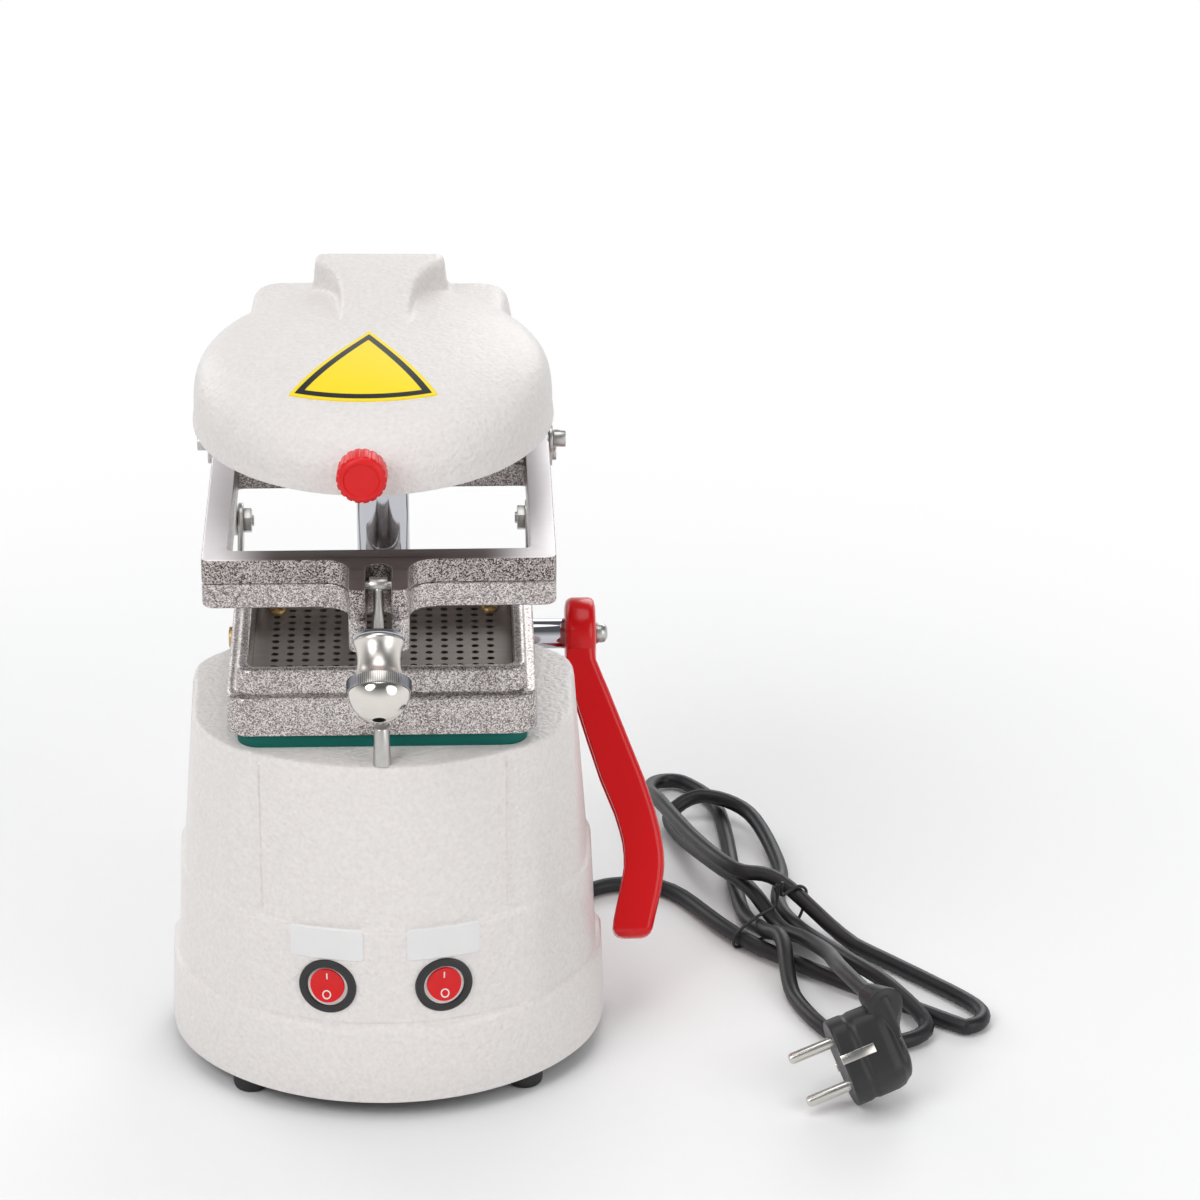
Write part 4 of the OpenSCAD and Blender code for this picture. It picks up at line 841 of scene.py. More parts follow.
def planRing(z, inward, frontIn, rearIn, corner=0.0, cutRear=None, shrink=0.0):
    ring = []
    count = baseSizes["rings"]
    for i in range(count):
        a = 2 * math.pi * (i + 0.5) / count
        p = planPoint(a, inward + shrink, frontIn + shrink, rearIn + 1.2 * shrink, corner,
                      None if cutRear is None else cutRear - shrink * 0.6)
        if corner:                                     # soft upright edges at x = 60 ahead of the sides
            x, y = abs(p.x), p.y
            if y < -62 and x > 40:
                bulge = math.exp(-((x - 60.5) / 7.5) ** 2) * 1.25 - math.exp(-((x - 76) / 9) ** 2) * 1.1
                way = Vector((p.x, p.y + 62)).normalized()
                p = p + way * bulge * corner
        ring.append((p.x, p.y, z))
    return ring


def makeBase():
    rows = [(8.0, 0.9, 0.9, 0.5, 0), (8.35, 0.25, 0.25, 0.15, 0), (9.0, 0.03, 0.03, 0.02, 0), (24, 1.0, 0.45, 0.25, 0),
            (39.3, 2.0, 0.9, 0.55, 0), (40.6, 2.2, 1.15, 0.56, 0), (41.5, 2.75, 1.7, 0.57, 0.2), (41.95, 3.6, 2.4, 0.6, 0.4),
            (42.1, 4.7, 3.0, 0.6, 0.8), (42.5, 5.3, 3.3, 0.6, 1), (43.3, 5.5, 3.4, 0.62, 1), (63, 6.5, 3.9, 1.0, 1),
            (83.6, 7.5, 4.36, 1.0, 1), (84.9, 7.75, 4.6, 1.05, 1), (85.7, 8.4, 5.05, 1.2, 1), (86.05, 9.1, 5.25, 1.4, 1),
            (86.6, 9.45, 5.35, 1.5, 1), (88, 9.6, 5.4, 1.55, 1), (110, 11.3, 5.9, 1.85, 1), (134.8, 13.2, 6.45, 2.25, 1)]
    low = [planRing(z, inward, frontIn, rearIn, corner) for z, inward, frontIn, rearIn, corner in rows]
    low.append(planRing(134.85, 14.2, 7.4, 3.2, 1))
    lower = loft("lowerTiers", low, degrees=30)
    rows = [(134.5, 13.2, 6.45, 2.25, 0), (145, 14.0, 6.7, 2.4, 0), (154.6, 14.7, 6.85, 2.55, 0), (155.9, 14.9, 7.05, 2.7, 0.1),
            (156.7, 15.4, 7.5, 3.1, 0.4), (157.1, 16.2, 8.3, 3.9, 0.9), (157.2, 17.2, 9.3, 4.9, 1.9)]
    high = [planRing(z, inward, frontIn, rearIn, 1, -9.0 - shrink * 0.8) for z, inward, frontIn, rearIn, shrink in rows]
    upper = loft("deckTier", high, degrees=30)
    parts = [lower, upper]
    parts.append(softBox("troughFloor", (-60.2, -12, 130), (60.2, 15.8, 139.0), 1.0))
    parts.append(softBox("rearBar", (-60.5, 7.5, 130), (60.5, 16.2, 146.0), 1.6, 4))
    for side in (-1, 1):
        parts.append(softBox("ear", (min(side * 54.7, side * 60.4), -16.4, 130), (max(side * 54.7, side * 60.4), 8, 158.6), 1.4, 4))
    rows = [(10.5, 22.0, 3.0, 100), (12.5, 23.6, 3.2, 112), (17.0, 24.0, 3.4, 122), (21.2, 24.0, 3.4, 129), (22.6, 24.0, 3.2, 133),
            (23, 24, 3, 138), (23, 24, 3, 154.2), (22.7, 23.7, 3, 155.4), (21.9, 22.9, 2.6, 156.2), (21.2, 22.2, 2.2, 156.4)]
    boss = loft("columnBoss", [roundRing(half, -12, back, radius, z) for half, back, radius, z in rows], degrees=40)
    parts.append(boss)
    rows = [(8, 0.15, 0.4), (30, 0.35, 0.6), (60, 0.75, 1.0), (84, 1.1, 1.38), (88, 1.2, 1.45), (134, 1.3, 2.25)]
    rings = []
    for z, proud, rearIn in rows:                      # broad soft band down the rear corner
        back = 27 - rearIn
        line = [(8.0, back + proud * 0.25), (10.6, back + proud * 0.1), (12.6, back - 1.6 + proud * 0.6), (16.8, back - 6.0 + proud),
                (18.2, back - 7.6 + proud * 0.9), (19.0, back - 8.8 + proud * 0.55), (19.9, back - 9.9 + 0.02), (19.9, back - 14)]
        ring = [(-x, y) for x, y in reversed(line)] + line
        rings.append([(x, y, z + 0.35 if z == 8 else z) for x, y in ring])
    parts.append(loft("rearBand", rings, degrees=40))
    core = lathe("bossCore", [(0.5, 0), (18, 0), (18, 50), (16.5, 52), (0.5, 52)], (0, 6, 84), (0, 0, 1), 64)
    parts.append(core)
    ring = lathe("columnSeat", [(11.3, 0), (13.6, 0), (13.6, 0.5), (13.0, 1.0), (11.3, 1.0)], (0, 0, 156.2), (0, 0, 1), 64)
    parts.append(ring)
    return joined("baseCasting", parts, 34)


def surfaceSpot(x, z, outward=0.0):
    inward, frontIn = (5.5, 3.4 + (z - 43) / 42 * 0.95) if z < 86 else (9.6, 5.4 + (z - 88) / 68 * 1.45)
    radius = baseSizes["half"]
    centre = -baseSizes["front"] + frontIn + radius
    wide = radius + outward
    y = centre - math.sqrt(max(wide * wide - x * x, 1))
    bulge = math.exp(-((abs(x) - 60.5) / 7.5) ** 2) * 1.25
    return Vector((x, y - bulge * 0.85, z))


def wrapPanel(name, outline, thick, steps=3):
    shape = bmesh.new()
    loopOut = [shape.verts.new(place(surfaceSpot(x, z, -0.4))) for x, z in outline]
    centreX = sum(p[0] for p in outline) / len(outline)
    centreZ = sum(p[1] for p in outline) / len(outline)
    previous = loopOut
    for lift, inset in ((thick * 0.55, 0.0), (thick * 0.9, 0.25), (thick, 0.7)):
        ring = []
        for x, z in outline:
            dx = x - centreX
            dz = z - centreZ
            ring.append(shape.verts.new(place(surfaceSpot(x - math.copysign(min(inset, abs(dx)), dx),
                                                          z - math.copysign(min(inset, abs(dz)), dz), lift))))
        for i in range(len(outline)):
            j = (i + 1) % len(outline)
            shape.faces.new((previous[i], previous[j], ring[j], ring[i]))
        previous = ring
    shape.faces.new(previous)
    bmesh.ops.triangulate(shape, faces=[f for f in shape.faces if len(f.verts) > 4])
    mesh = bpy.data.meshes.new(name)
    shape.to_mesh(mesh)
    shape.free()
    return addPiece(name, mesh)


def curvedSlab(name, x0, x1, z0, z1, base, thick, corner=1.2, pattern=None, columns=28):
    rows = []
    xs = [x0 + (x1 - x0) * k / columns for k in range(columns + 1)]

    def edge(x):                                        # cut corners of the slab, from the low to the high side
        gap = min(x - x0, x1 - x)
        cut = corner - math.sqrt(max(corner * corner - (corner - gap) ** 2, 0)) if gap < corner else 0
        return cut

    def ring(x, inset, lift):
        cut = edge(x)
        top = pattern(x) if pattern else z1
        return [surfaceSpot(x, z0 + cut + inset, lift), surfaceSpot(x, top - cut - inset, lift)]
    verts, faces = [], []
    for x in xs:
        cut = edge(x)
        top = pattern(x) if pattern else z1
        lowZ, highZ = z0 + cut, top - cut
        verts += [surfaceSpot(x, lowZ, base), surfaceSpot(x, lowZ, base + thick - 0.45),
                  surfaceSpot(x, lowZ + 0.6, base + thick), surfaceSpot(x, highZ - 0.6, base + thick),
                  surfaceSpot(x, highZ, base + thick - 0.45), surfaceSpot(x, highZ, base)]
    for k in range(columns):
        for i in range(6):
            j = (i + 1) % 6
            faces.append((k * 6 + i, k * 6 + j, k * 6 + 6 + j, k * 6 + 6 + i))
    faces.append((0, 1, 2, 3, 4, 5))
    last = columns * 6
    faces.append((last + 5, last + 4, last + 3, last + 2, last + 1, last))
    return outward(meshPiece(name, verts, faces), 0.0000001)


def makeBaseTrim(finishes):
    def chamferTop(x):
        return 84.2 if abs(x) > 56.9 else 84.2 if abs(x) < 50 else 84.2

    panel = curvedSlab("switchPanel", -57, 57, 43.4, 84.4, -0.6, 1.05, 1.0, None, 60)
    ribs = []
    for side in (-1, 1):
        ribs.append(curvedSlab("panelRib", side * 50.4 - 0.45, side * 50.4 + 0.45, 88.0, 153.5, -0.5, 0.85, 0.3, None, 4))
    return joined("frontPanels", [panel, *ribs], 34)


switchSizes = {"bezel": 24.0, "rocker": 14.4, "turn": 14.587, "x": 23.7, "z": 59.5}


def switchSpot(side):
    t = math.radians(switchSizes["turn"])
    centre = Vector((0, -60.1, switchSizes["z"]))
    aim = Vector((side * math.sin(t), -math.cos(t), 0))                # outward
    across = Vector((math.cos(t), side * math.sin(t), 0))
    origin = centre + aim * (94.1 - 0.4)
    return Matrix((across, Vector((0, 0, 1)), aim)).transposed().to_4x4(), origin


def makeSwitches(finishes):
    for side, word in ((-1, "left"), (1, "right")):
        turn, origin = switchSpot(side)
        spot = Matrix.Translation(origin) @ turn
        aim = spot.to_3x3() @ Vector((0, 0, 1))
        profile = [(8.3, -10), (10.1, -10), (10.1, -1), (12, -1), (12, 0.55), (11.75, 1.15), (11.2, 1.45), (9.3, 1.5),
                   (8.75, 1.2), (8.4, 0.4), (8.3, -1)]
        rings = []
        for radius, along in profile:
            rings.append([spot @ Vector((radius * math.cos(a), radius * math.sin(a), along))
                          for a in (2 * math.pi * i / 72 for i in range(72))])
        ring = loft("bezelRing", rings, closed=True, degrees=32)
        back = lathe("bezelBack", [(0.2, -12), (8.5, -12), (8.5, -9.5), (0.2, -9.5)], origin, aim, 48)
        bezel = joined(word + "Bezel", [ring, back], 32)
        done(bezel, "base", finishes["blackPlastic"], "black_plastic", "bezel_" + word)

        tip = Matrix.Translation((0, 0, -6)) @ Matrix.Rotation(math.radians(-6), 4, "X") @ Matrix.Translation((0, 0, 6))
        face, levels = [], 9
        verts, faces = [], []
        count = 64
        for k in range(levels + 1):
            r = 7.2 * k / levels * 0.985
            for i in range(count):
                a = 2 * math.pi * i / count
                x, z = r * math.cos(a), r * math.sin(a)
                dish = 2.35 - (1.35 - 1.35 * (z / 7.2) ** 2)
                verts.append((x, z, dish))
        for k in range(levels):
            for i in range(count):
                j = (i + 1) % count
                faces.append((k * count + i, k * count + j, (k + 1) * count + j, (k + 1) * count + i))
        base = levels * count
        rims = ((7.2, -0.25), (7.2, -6.5))
        for r, drop in rims:
            start = len(verts)
            for i in range(count):
                a = 2 * math.pi * i / count
                z = r * math.sin(a)
                top = 2.35 - (1.35 - 1.35 * (z / 7.2) ** 2)
                verts.append((r * math.cos(a), z, top + drop if drop > -1 else drop))
            for i in range(count):
                j = (i + 1) % count
                faces.append((base + i, base + j, start + j, start + i))
            base = start
        faces.append(tuple(range(base + count - 1, base - 1, -1)))
        rocker = meshPiece("rockerBody", [tuple(spot @ tip @ Vector(v)) for v in verts], faces)
        outward(rocker, 0.0000005)
        axle = lathe("rockerAxle", [(0.1, -9.1), (0.8, -9.1), (0.8, 9.1), (0.1, 9.1)],
                     spot @ Vector((0, 0, -6)), spot.to_3x3() @ Vector((1, 0, 0)), 16)
        rocker = joined(word + "Rocker", [rocker, axle], 40)
        marks = []
        line = localBox("lineMark", (-0.3, 2.6, 0.0), (0.3, 5.4, 0.16), 0.05, 1)
        marks.append(line)
        loopRows = []
        for r, along in ((1.35, 0), (1.35, 0.16), (1.85, 0.16), (1.85, 0)):
            loopRows.append([(r * math.cos(a), r * math.sin(a) - 4.0, along)
                             for a in (2 * math.pi * i / 32 for i in range(32))])
        circleVerts = [p for ring in loopRows for p in ring]
        circleFaces = [(k * 32 + i, k * 32 + (i + 1) % 32, (k + 1) % 4 * 32 + (i + 1) % 32, (k + 1) % 4 * 32 + i)
                       for k in range(4) for i in range(32)]
        marks.append(localPiece("roundMark", circleVerts, circleFaces))
        for mark in marks:
            for v in mark.data.vertices:
                p = v.co / mm
                dish = 2.35 - (1.35 - 1.35 * (p.y / 7.2) ** 2)
                v.co = place(spot @ tip @ Vector((p.x, p.y, p.z + dish - 0.06)))
        mark = joined(word + "RockerMarks", marks, 40)
        done(mark, word + "_rocker", finishes["label"], "white_plastic")
        done(rocker, word + "_rocker", finishes["redPlastic"], "red_plastic", "rocker_" + word)


def makePlates(finishes):
    labels = []
    for side in (-1, 1):
        labels.append(curvedSlab("labelPlate", side * 23.6 - 14.7, side * 23.6 + 14.7, 71.6, 85.8, 0.2, 0.75, 0.5, None, 24))
    labels = joined("blankLabels", labels, 34)
    done(labels, "base", finishes["label"], "white_plastic", "label_plates")
    outline = []
    for cx, cy, start in ((32, 15, 0), (-32, 15, 90), (-32, -15, 180), (32, -15, 270)):
        outline += arc(cx, cy, 3, start, start + 90, 6)
    across = Vector((1, -1, 0)).normalized()
    out = Vector((1, 1, 0)).normalized()
    spot = Matrix((across, Vector((0, 0, 1)), out)).transposed().to_4x4()
    origin = Vector((37.5, 27 - 37.5 + 10, 56)) + out * 0.05
    turn = Matrix.Translation(origin) @ spot
    rating = plate("blankRatingPlate", outline, [], -0.5, 0.5, 0.2, turn)
    frameLine = []
    inner = [(x * 0.955, y * 0.92) for x, y in outline]
    inner2 = [(x * 0.94, y * 0.895) for x, y in outline]
    rim = plate("ratingPlateLine", inner, [inner2], 0.42, 0.56, 0.02, turn)
    done(rating, "base", finishes["platePrint"], "black_steel", "rating_plate")
    done(rim, "base", finishes["steel"], "zinc_steel")


def makeGland(finishes):
    across = Vector((1, -1, 0)).normalized()
    out = Vector((1, 1, 0)).normalized()
    spot = Matrix((across, Vector((0, 0, 1)), out)).transposed().to_4x4()
    turn = Matrix.Translation(Vector((41.5, 27 + 10 - 41.5, 17.2))) @ spot

    def squareRing(half, tall, radius, along, count=8):
        return [turn @ Vector((p[0], p[1], along)) for p in
                [(q[0], q[1]) for q in roundRing(half, -tall, tall, radius, 0, count)]]
    rows = [(5, 5, 1, -6), (5, 5, 1, 0), (6.2, 7, 1.4, 0), (6.2, 7, 1.4, 6.6), (5.9, 6.6, 1.4, 7.5), (5.2, 5.8, 1.6, 8)]
    rings = [squareRing(*row) for row in rows]
    rings.append([turn @ Vector((3.75 * math.cos(a), 3.75 * math.sin(a), 8)) for a in
                  (2 * math.pi * i / len(rings[0]) for i in range(len(rings[0])))])
    shell = loft("glandBlock", rings, degrees=34)
    done(shell, "base", finishes["blackPlastic"], "black_plastic", "cord_gland")


def makeFeet(finishes):
    spots = [(-56.8, -125.4), (56.8, -125.4), (-56.5, -36.4), (56.5, -36.4), (0, 15.5)]
    profile = [(0.3, 0.0), (5.6, 0.0), (6.5, 0.15), (6.95, 0.6), (7.35, 1.6), (7.5, 2.6), (7.5, 7.4), (7.2, 8.0), (0.3, 8.0)]
    foot = lathe("footMaster", profile, (0, rearFoot, 0), (0, 0, 1), 40)
    points = bpy.data.meshes.new("footPoints")
    points.from_pydata([place((x, y, 0)) for x, y in spots], [], [])
    carrier = addPiece("rubberFeet", points)
    feet = withTree(carrier, "scatter", Head=foot, Finish=finishes["rubber"], Seed=3)
    bpy.data.objects.remove(foot)
    shadeByAngle(feet, 38)
    done(feet, "base", finishes["rubber"], "rubber", "feet")


def makeScrewHeads(name, spots, height, radius, finishes, finish, slotName, body, nodes, slot=True, up=1):
    profile = [(0.2, -0.4), (radius, -0.4), (radius, height * 0.35), (radius * 0.86, height * 0.75), (radius * 0.55, height * 0.96),
               (0.2, height)]
    head = lathe("screwHead", profile, (0, rearFoot, 0), (0, 0, 1), 28)
    if slot:
        cut = bmesh.new()
        cut.from_mesh(head.data)
        bmesh.ops.bisect_plane(cut, geom=cut.verts[:] + cut.edges[:] + cut.faces[:], plane_co=(0, radius * 0.13 * mm, 0),
                               plane_no=(0, 1, 0))
        bmesh.ops.bisect_plane(cut, geom=cut.verts[:] + cut.edges[:] + cut.faces[:], plane_co=(0, -radius * 0.13 * mm, 0),
                               plane_no=(0, 1, 0))
        for v in cut.verts:
            if abs(v.co.y) < radius * 0.12 * mm and v.co.z > height * 0.45 * mm:
                v.co.z -= height * 0.45 * mm
        cut.to_mesh(head.data)
        cut.free()
    if up < 0:
        head.data.transform(Matrix.Rotation(math.pi, 4, "X"))
    points = bpy.data.meshes.new(name)
    points.from_pydata([place(p) for p in spots], [], [])
    carrier = addPiece(name, points)
    heads = withTree(carrier, "scatter", Head=head, Finish=finishes[finish], Seed=11)
    bpy.data.objects.remove(head)
    shadeByAngle(heads, 38)
    return done(heads, body, finishes[finish], slotName, *nodes)


def makeColumn(finishes):
    profile = [(5.0, 0), (11.15, 0), (11.15, 193.6), (10.9, 194.3), (10.2, 194.6), (5.0, 194.6)]
    column = lathe("chromeColumn", profile, (0, 0, 102.2), (0, 0, 1), 128)
    done(column, "base", finishes["chrome"], "chrome", "column")


def makeTray(finishes):
    rows = [(62.2, -133.8, -13.8, 9, 163.8), (62.4, -133.8, -13.8, 9, 164.2), (62.4, -133.6, -14, 9, 178.4),
            (62.1, -133.3, -14.3, 8.8, 179.5), (61.4, -132.6, -15.0, 8.4, 180.1), (60.4, -131.6, -16, 8, 180.3),
            (59.2, -130.6, -17, 7.6, 180.4), (58.6, -130.0, -17.6, 7.2, 180.9), (58.4, -129.8, -17.8, 7, 182),
            (58.2, -129.6, -18.0, 7, 189.2), (57.8, -129.2, -18.4, 6.7, 190.2), (57.0, -128.4, -19.2, 6.2, 190.75),
            (56.2, -127.6, -20, 5.6, 190.8), (54.6, -126.0, -21.6, 4.8, 190.8), (53.8, -125.2, -22.4, 4.3, 190.4),
            (53.4, -124.8, -22.8, 4, 189.4), (53.4, -124.8, -22.8, 4, 171.6), (52.9, -124.3, -23.3, 3.7, 171.2)]
    tray = loft("castTray", [roundRing(*row) for row in rows], degrees=34)
    done(tray, "base", finishes["castNickel"], "cast_nickel", "vacuum_tray")
    rows = [(58.3, -130.6, -17.0, 9, 157.25), (58.5, -130.8, -16.8, 9, 157.6), (58.8, -131.1, -16.5, 9.2, 160.5),
            (58.5, -130.8, -16.8, 9, 163.4), (58.2, -130.5, -17.1, 9, 163.8)]
    gasket = loft("trayGasket", [roundRing(*row) for row in rows], degrees=50)
    done(gasket, "base", finishes["gasket"], "gasket_rubber", "gasket")
    dress("perforated_plate", finishes["sieve"])
    half = 6.35 * 7
    corners = [(x * half, -73.8 + y * half, 173.0) for x in (-1, 1) for y in (-1, 1)]
    makeScrewHeads("traySlotScrews", corners, 2.0, 3.5, finishes, "brass", "brass", "base", ["tray_screws"])
    profile = [(0.3, -11), (1.9, -11), (1.9, 0), (3.7, 0), (3.55, 3), (2.98, 15.6), (2.6, 16.1), (0.3, 16.25)]
    post = lathe("stopPost", profile, (0, -147, 157.2), (0, 0, 1), 40)
    done(post, "base", finishes["steel"], "zinc_steel", "front_post")


def lugOutline(front, back, half, slotHalf, slotEnd, fillet, corner=4.0):
    right = [(half + fillet, back + 2), *arc(half + fillet, back - fillet, fillet, 90, 180, 10),
             (half, front + corner), *arc(half - corner, front + corner, corner, 0, -90, 8)]
    right += [(slotHalf + 0.8, front), (slotHalf, front + 0.8), (slotHalf, slotEnd)]
    right += arc(0, slotEnd, slotHalf, 0, 90, 8)[1:]
    left = [(-x, y) for x, y in reversed(right[:-1])]
    return right + left


def fingerOutline(front, back, half, slotHalf):
    return [(half, back), (half, front + 4), *arc(half - 4, front + 4, 4, 0, -90, 8)[1:], (slotHalf + 0.8, front),
            (slotHalf, front + 0.8), (slotHalf, back)]


def ringLoft(name, outerRows, innerRows, degrees=34):
    rings = [roundRing(*row) for row in outerRows] + [roundRing(*row) for row in innerRows]
    return loft(name, rings, closed=True, degrees=degrees)


blockSizes = {"half": 70.3, "rise": 31.0, "wing": 18.3, "rear": 21.5,
              "flare": [(19.3, 0), (18.5, 0.07), (17, 0.16), (14.5, 0.32), (12.8, 0.46), (11.6, 0.6), (10.0, 0.8), (8.9, 1)]}


def makeBlock():
    half, top = blockSizes["half"], frameZ + blockSizes["rise"]
    wing, rear = blockSizes["wing"], blockSizes["rear"]
    parts = []
    for side in (-1, 1):
        low, high = sorted((side * 14.2, side * half))
        for name, a, b in (("blockWing", (low, 5, frameZ), (high, wing, top)), ("blockArm", None, (0, 8, partZ))):
            if not a:
                low, high = sorted((side * 60.0, side * 70.0))
                a, b = (low, -17.5, frameZ), (high, 8, partZ)
            inner, outer = sorted((side * 63.1, side * 65.9))
            slots = [softBox("slotTool", (inner, 1.2, frameZ - 2), (outer, 15.6, frameZ + 13.7), 0.1, 1),
                     softBox("slotTool", (inner, 8.4, frameZ - 2), (outer, rear + 1, frameZ + 10.3), 0.1, 1)]
            parts.append(carved(softBox(name, a, b, 1.3 if a[1] > 0 else 0.9, 4), slots))
    web = softBox("blockWeb", (-61, 5, frameZ), (61, wing - 1, partZ), 0.9, 3)
    guide = lathe("guideSleeve", [(11.2, 0), (15.2, 0), (15.75, 0.5), (15.75, 30.3), (15.1, 31), (11.9, 31), (11.2, 30.4)],
                  (0, 0, frameZ), (0, 0, 1), 96)
    rings, steps = [], 14
    for k in range(steps + 1):                          # boss: a flared tongue whose sides sweep into the wings
        t = k / steps
        x = next(a[0] + (b[0] - a[0]) * (t - a[1]) / (b[1] - a[1]) for a, b in
                 zip(blockSizes["flare"], blockSizes["flare"][1:]) if a[1] <= t <= b[1] + 1e-9)
        z = frameZ + (top - frameZ) * t
        ring = [(-x - 9.0, wing - 2.0), (-x - 7.0, wing - 0.02)]
        for i in range(8):
            a = math.pi / 2 * i / 7
            ring.append((-x - 6.0 + 5.4 * math.sin(a), wing + 2.6 * (1 - math.cos(a))))
        ring += [(-x - 0.1, rear - 0.25), (-x + 0.6, rear), (x - 0.6, rear), (x + 0.1, rear - 0.25)]
        for i in range(8):
            a = math.pi / 2 * (7 - i) / 7
            ring.append((x + 6.0 - 5.4 * math.sin(a), wing + 2.6 * (1 - math.cos(a))))
        ring += [(x + 7.0, wing - 0.02), (x + 9.0, wing - 2.0)]
        rings.append([(p[0], p[1], min(max(z, frameZ + 0.7), top - 0.7)) for p in ring])
    hole = lathe("screwHoleTool", [(0.1, -12), (4.05, -12), (4.05, 3), (0.1, 3)], (0, rear, top - 12), (0, 1, 0), 48)
    boss = carved(loft("blockBoss", rings, degrees=40), [hole])
    screw = lathe("grubRim", [(4.05, 0.2), (4.6, 0.25), (4.9, 0), (4.9, -1), (4.05, -1)], (0, rear, top - 12), (0, 1, 0), 48)
    return joined("blockParts", [*parts, web, guide, boss, screw], 36)


def makeFrames(finishes):
    z0, z1 = partZ + 0.2, frameTop
    outer = [(69.7, -141.2, -14, 3.2, z0), (70, -141.5, -14, 3.2, z0 + 0.4), (70, -141.5, -14, 3.2, z1 - 0.9),
             (69.85, -141.35, -14, 3.2, z1 - 0.45), (69.45, -140.95, -14, 3.2, z1 - 0.12), (69.0, -140.5, -14, 3.2, z1)]
    inner = [(60.6, -132.1, -15.4, 3.4, z1), (60.15, -131.65, -15.85, 3.1, z1 - 0.2), (60, -131.5, -16, 3, z1 - 0.6),
             (60, -131.5, -16, 3, z0 + 0.5), (60.4, -131.9, -15.6, 3.2, z0)]
    ring = ringLoft("upperRing", outer, inner)
    arm = []
    for side in (-1, 1):
        notch = [(math.sqrt(17.95 ** 2 - y * y), y) for y in (-15.2, -12, -8, -4, 0, 3.8)]
        outline = [(69.6, -15.2), (69.6, -13), (70, -13), (70, 2.8), (69, 3.8), *reversed(notch), (12.0, -15.2)]
        outline = [(side * x, y) for x, y in outline]
        arm.append(plate("upperArm", outline, [], z0 + 1.4, z1, 0.9))
        thin = [(side * x, y) for x, y in [(70, -16.0), (70, -2.3), (17.8, -2.3), (17.95, -4), (16, -8), (13, -12), (12, -16)]]
        arm.append(plate("upperArmFoot", thin, [], z0, z0 + 2.4, 0.3))
    root = plate("upperLugRoot", lugOutline(-153.5, -141.5, 11.85, 5.1, -150.8, 10.4, 0.4), [], z0, z1, 0.5)
    lug = plate("upperLug", fingerOutline(-172.5, -151.0, 11.85, 5.1), [], z0 - 3.0, z1, 0.9)
    lugs = [plate("upperFinger", [(side * x, y) for x, y in line], [], z0 - 3.0, z1, 0.7)
            for side in (-1, 1) for line in [fingerOutline(-172.5, -150.0, 11.85, 5.1)]]
    bpy.data.objects.remove(lug)
    upper = joined("clampFrame", [ring, *arm, root, *lugs], 34)
    done(upper, "clamp_frame", finishes["machinedTop"], "machined", "upper_frame")

    z0, z1 = frameZ, partZ
    outer = [(69.2, -140.7, -14, 4, z0), (69.8, -141.3, -14, 4.2, z0 + 0.5), (70, -141.5, -14, 4.2, z0 + 1.4),
             (70, -141.5, -14, 4, z1 - 0.5), (69.6, -141.1, -14, 4, z1)]
    inner = [(60.4, -131.9, -15.6, 3.2, z1), (60, -131.5, -16, 3, z1 - 0.5), (60, -131.5, -16, 3, z0 + 0.8),
             (60.6, -132.1, -15.4, 3.4, z0)]
    ring = ringLoft("lowerRing", outer, inner)
    block = makeBlock()
    root = plate("lowerLugRoot", lugOutline(-152.4, -141.5, 11.85, 5.1, -150.8, 10.4, 0.4), [], z0, z1, 0.5)
    lugs = [plate("lowerFinger", [(side * x, y) for x, y in line], [], 216.3, 230.1, 0.7)
            for side in (-1, 1) for line in [fingerOutline(-170.5, -146.0, 11.85, 5.1)]]
    lower = joined("carriageCasting", [ring, block, root, *lugs], 34)
    done(lower, "carriage", finishes["castNickel"], "cast_nickel", "carriage_frame")


def boltSpot():
    return Vector((0, -161.0, 240.9)), Vector((0, -0.71934, -0.69466))


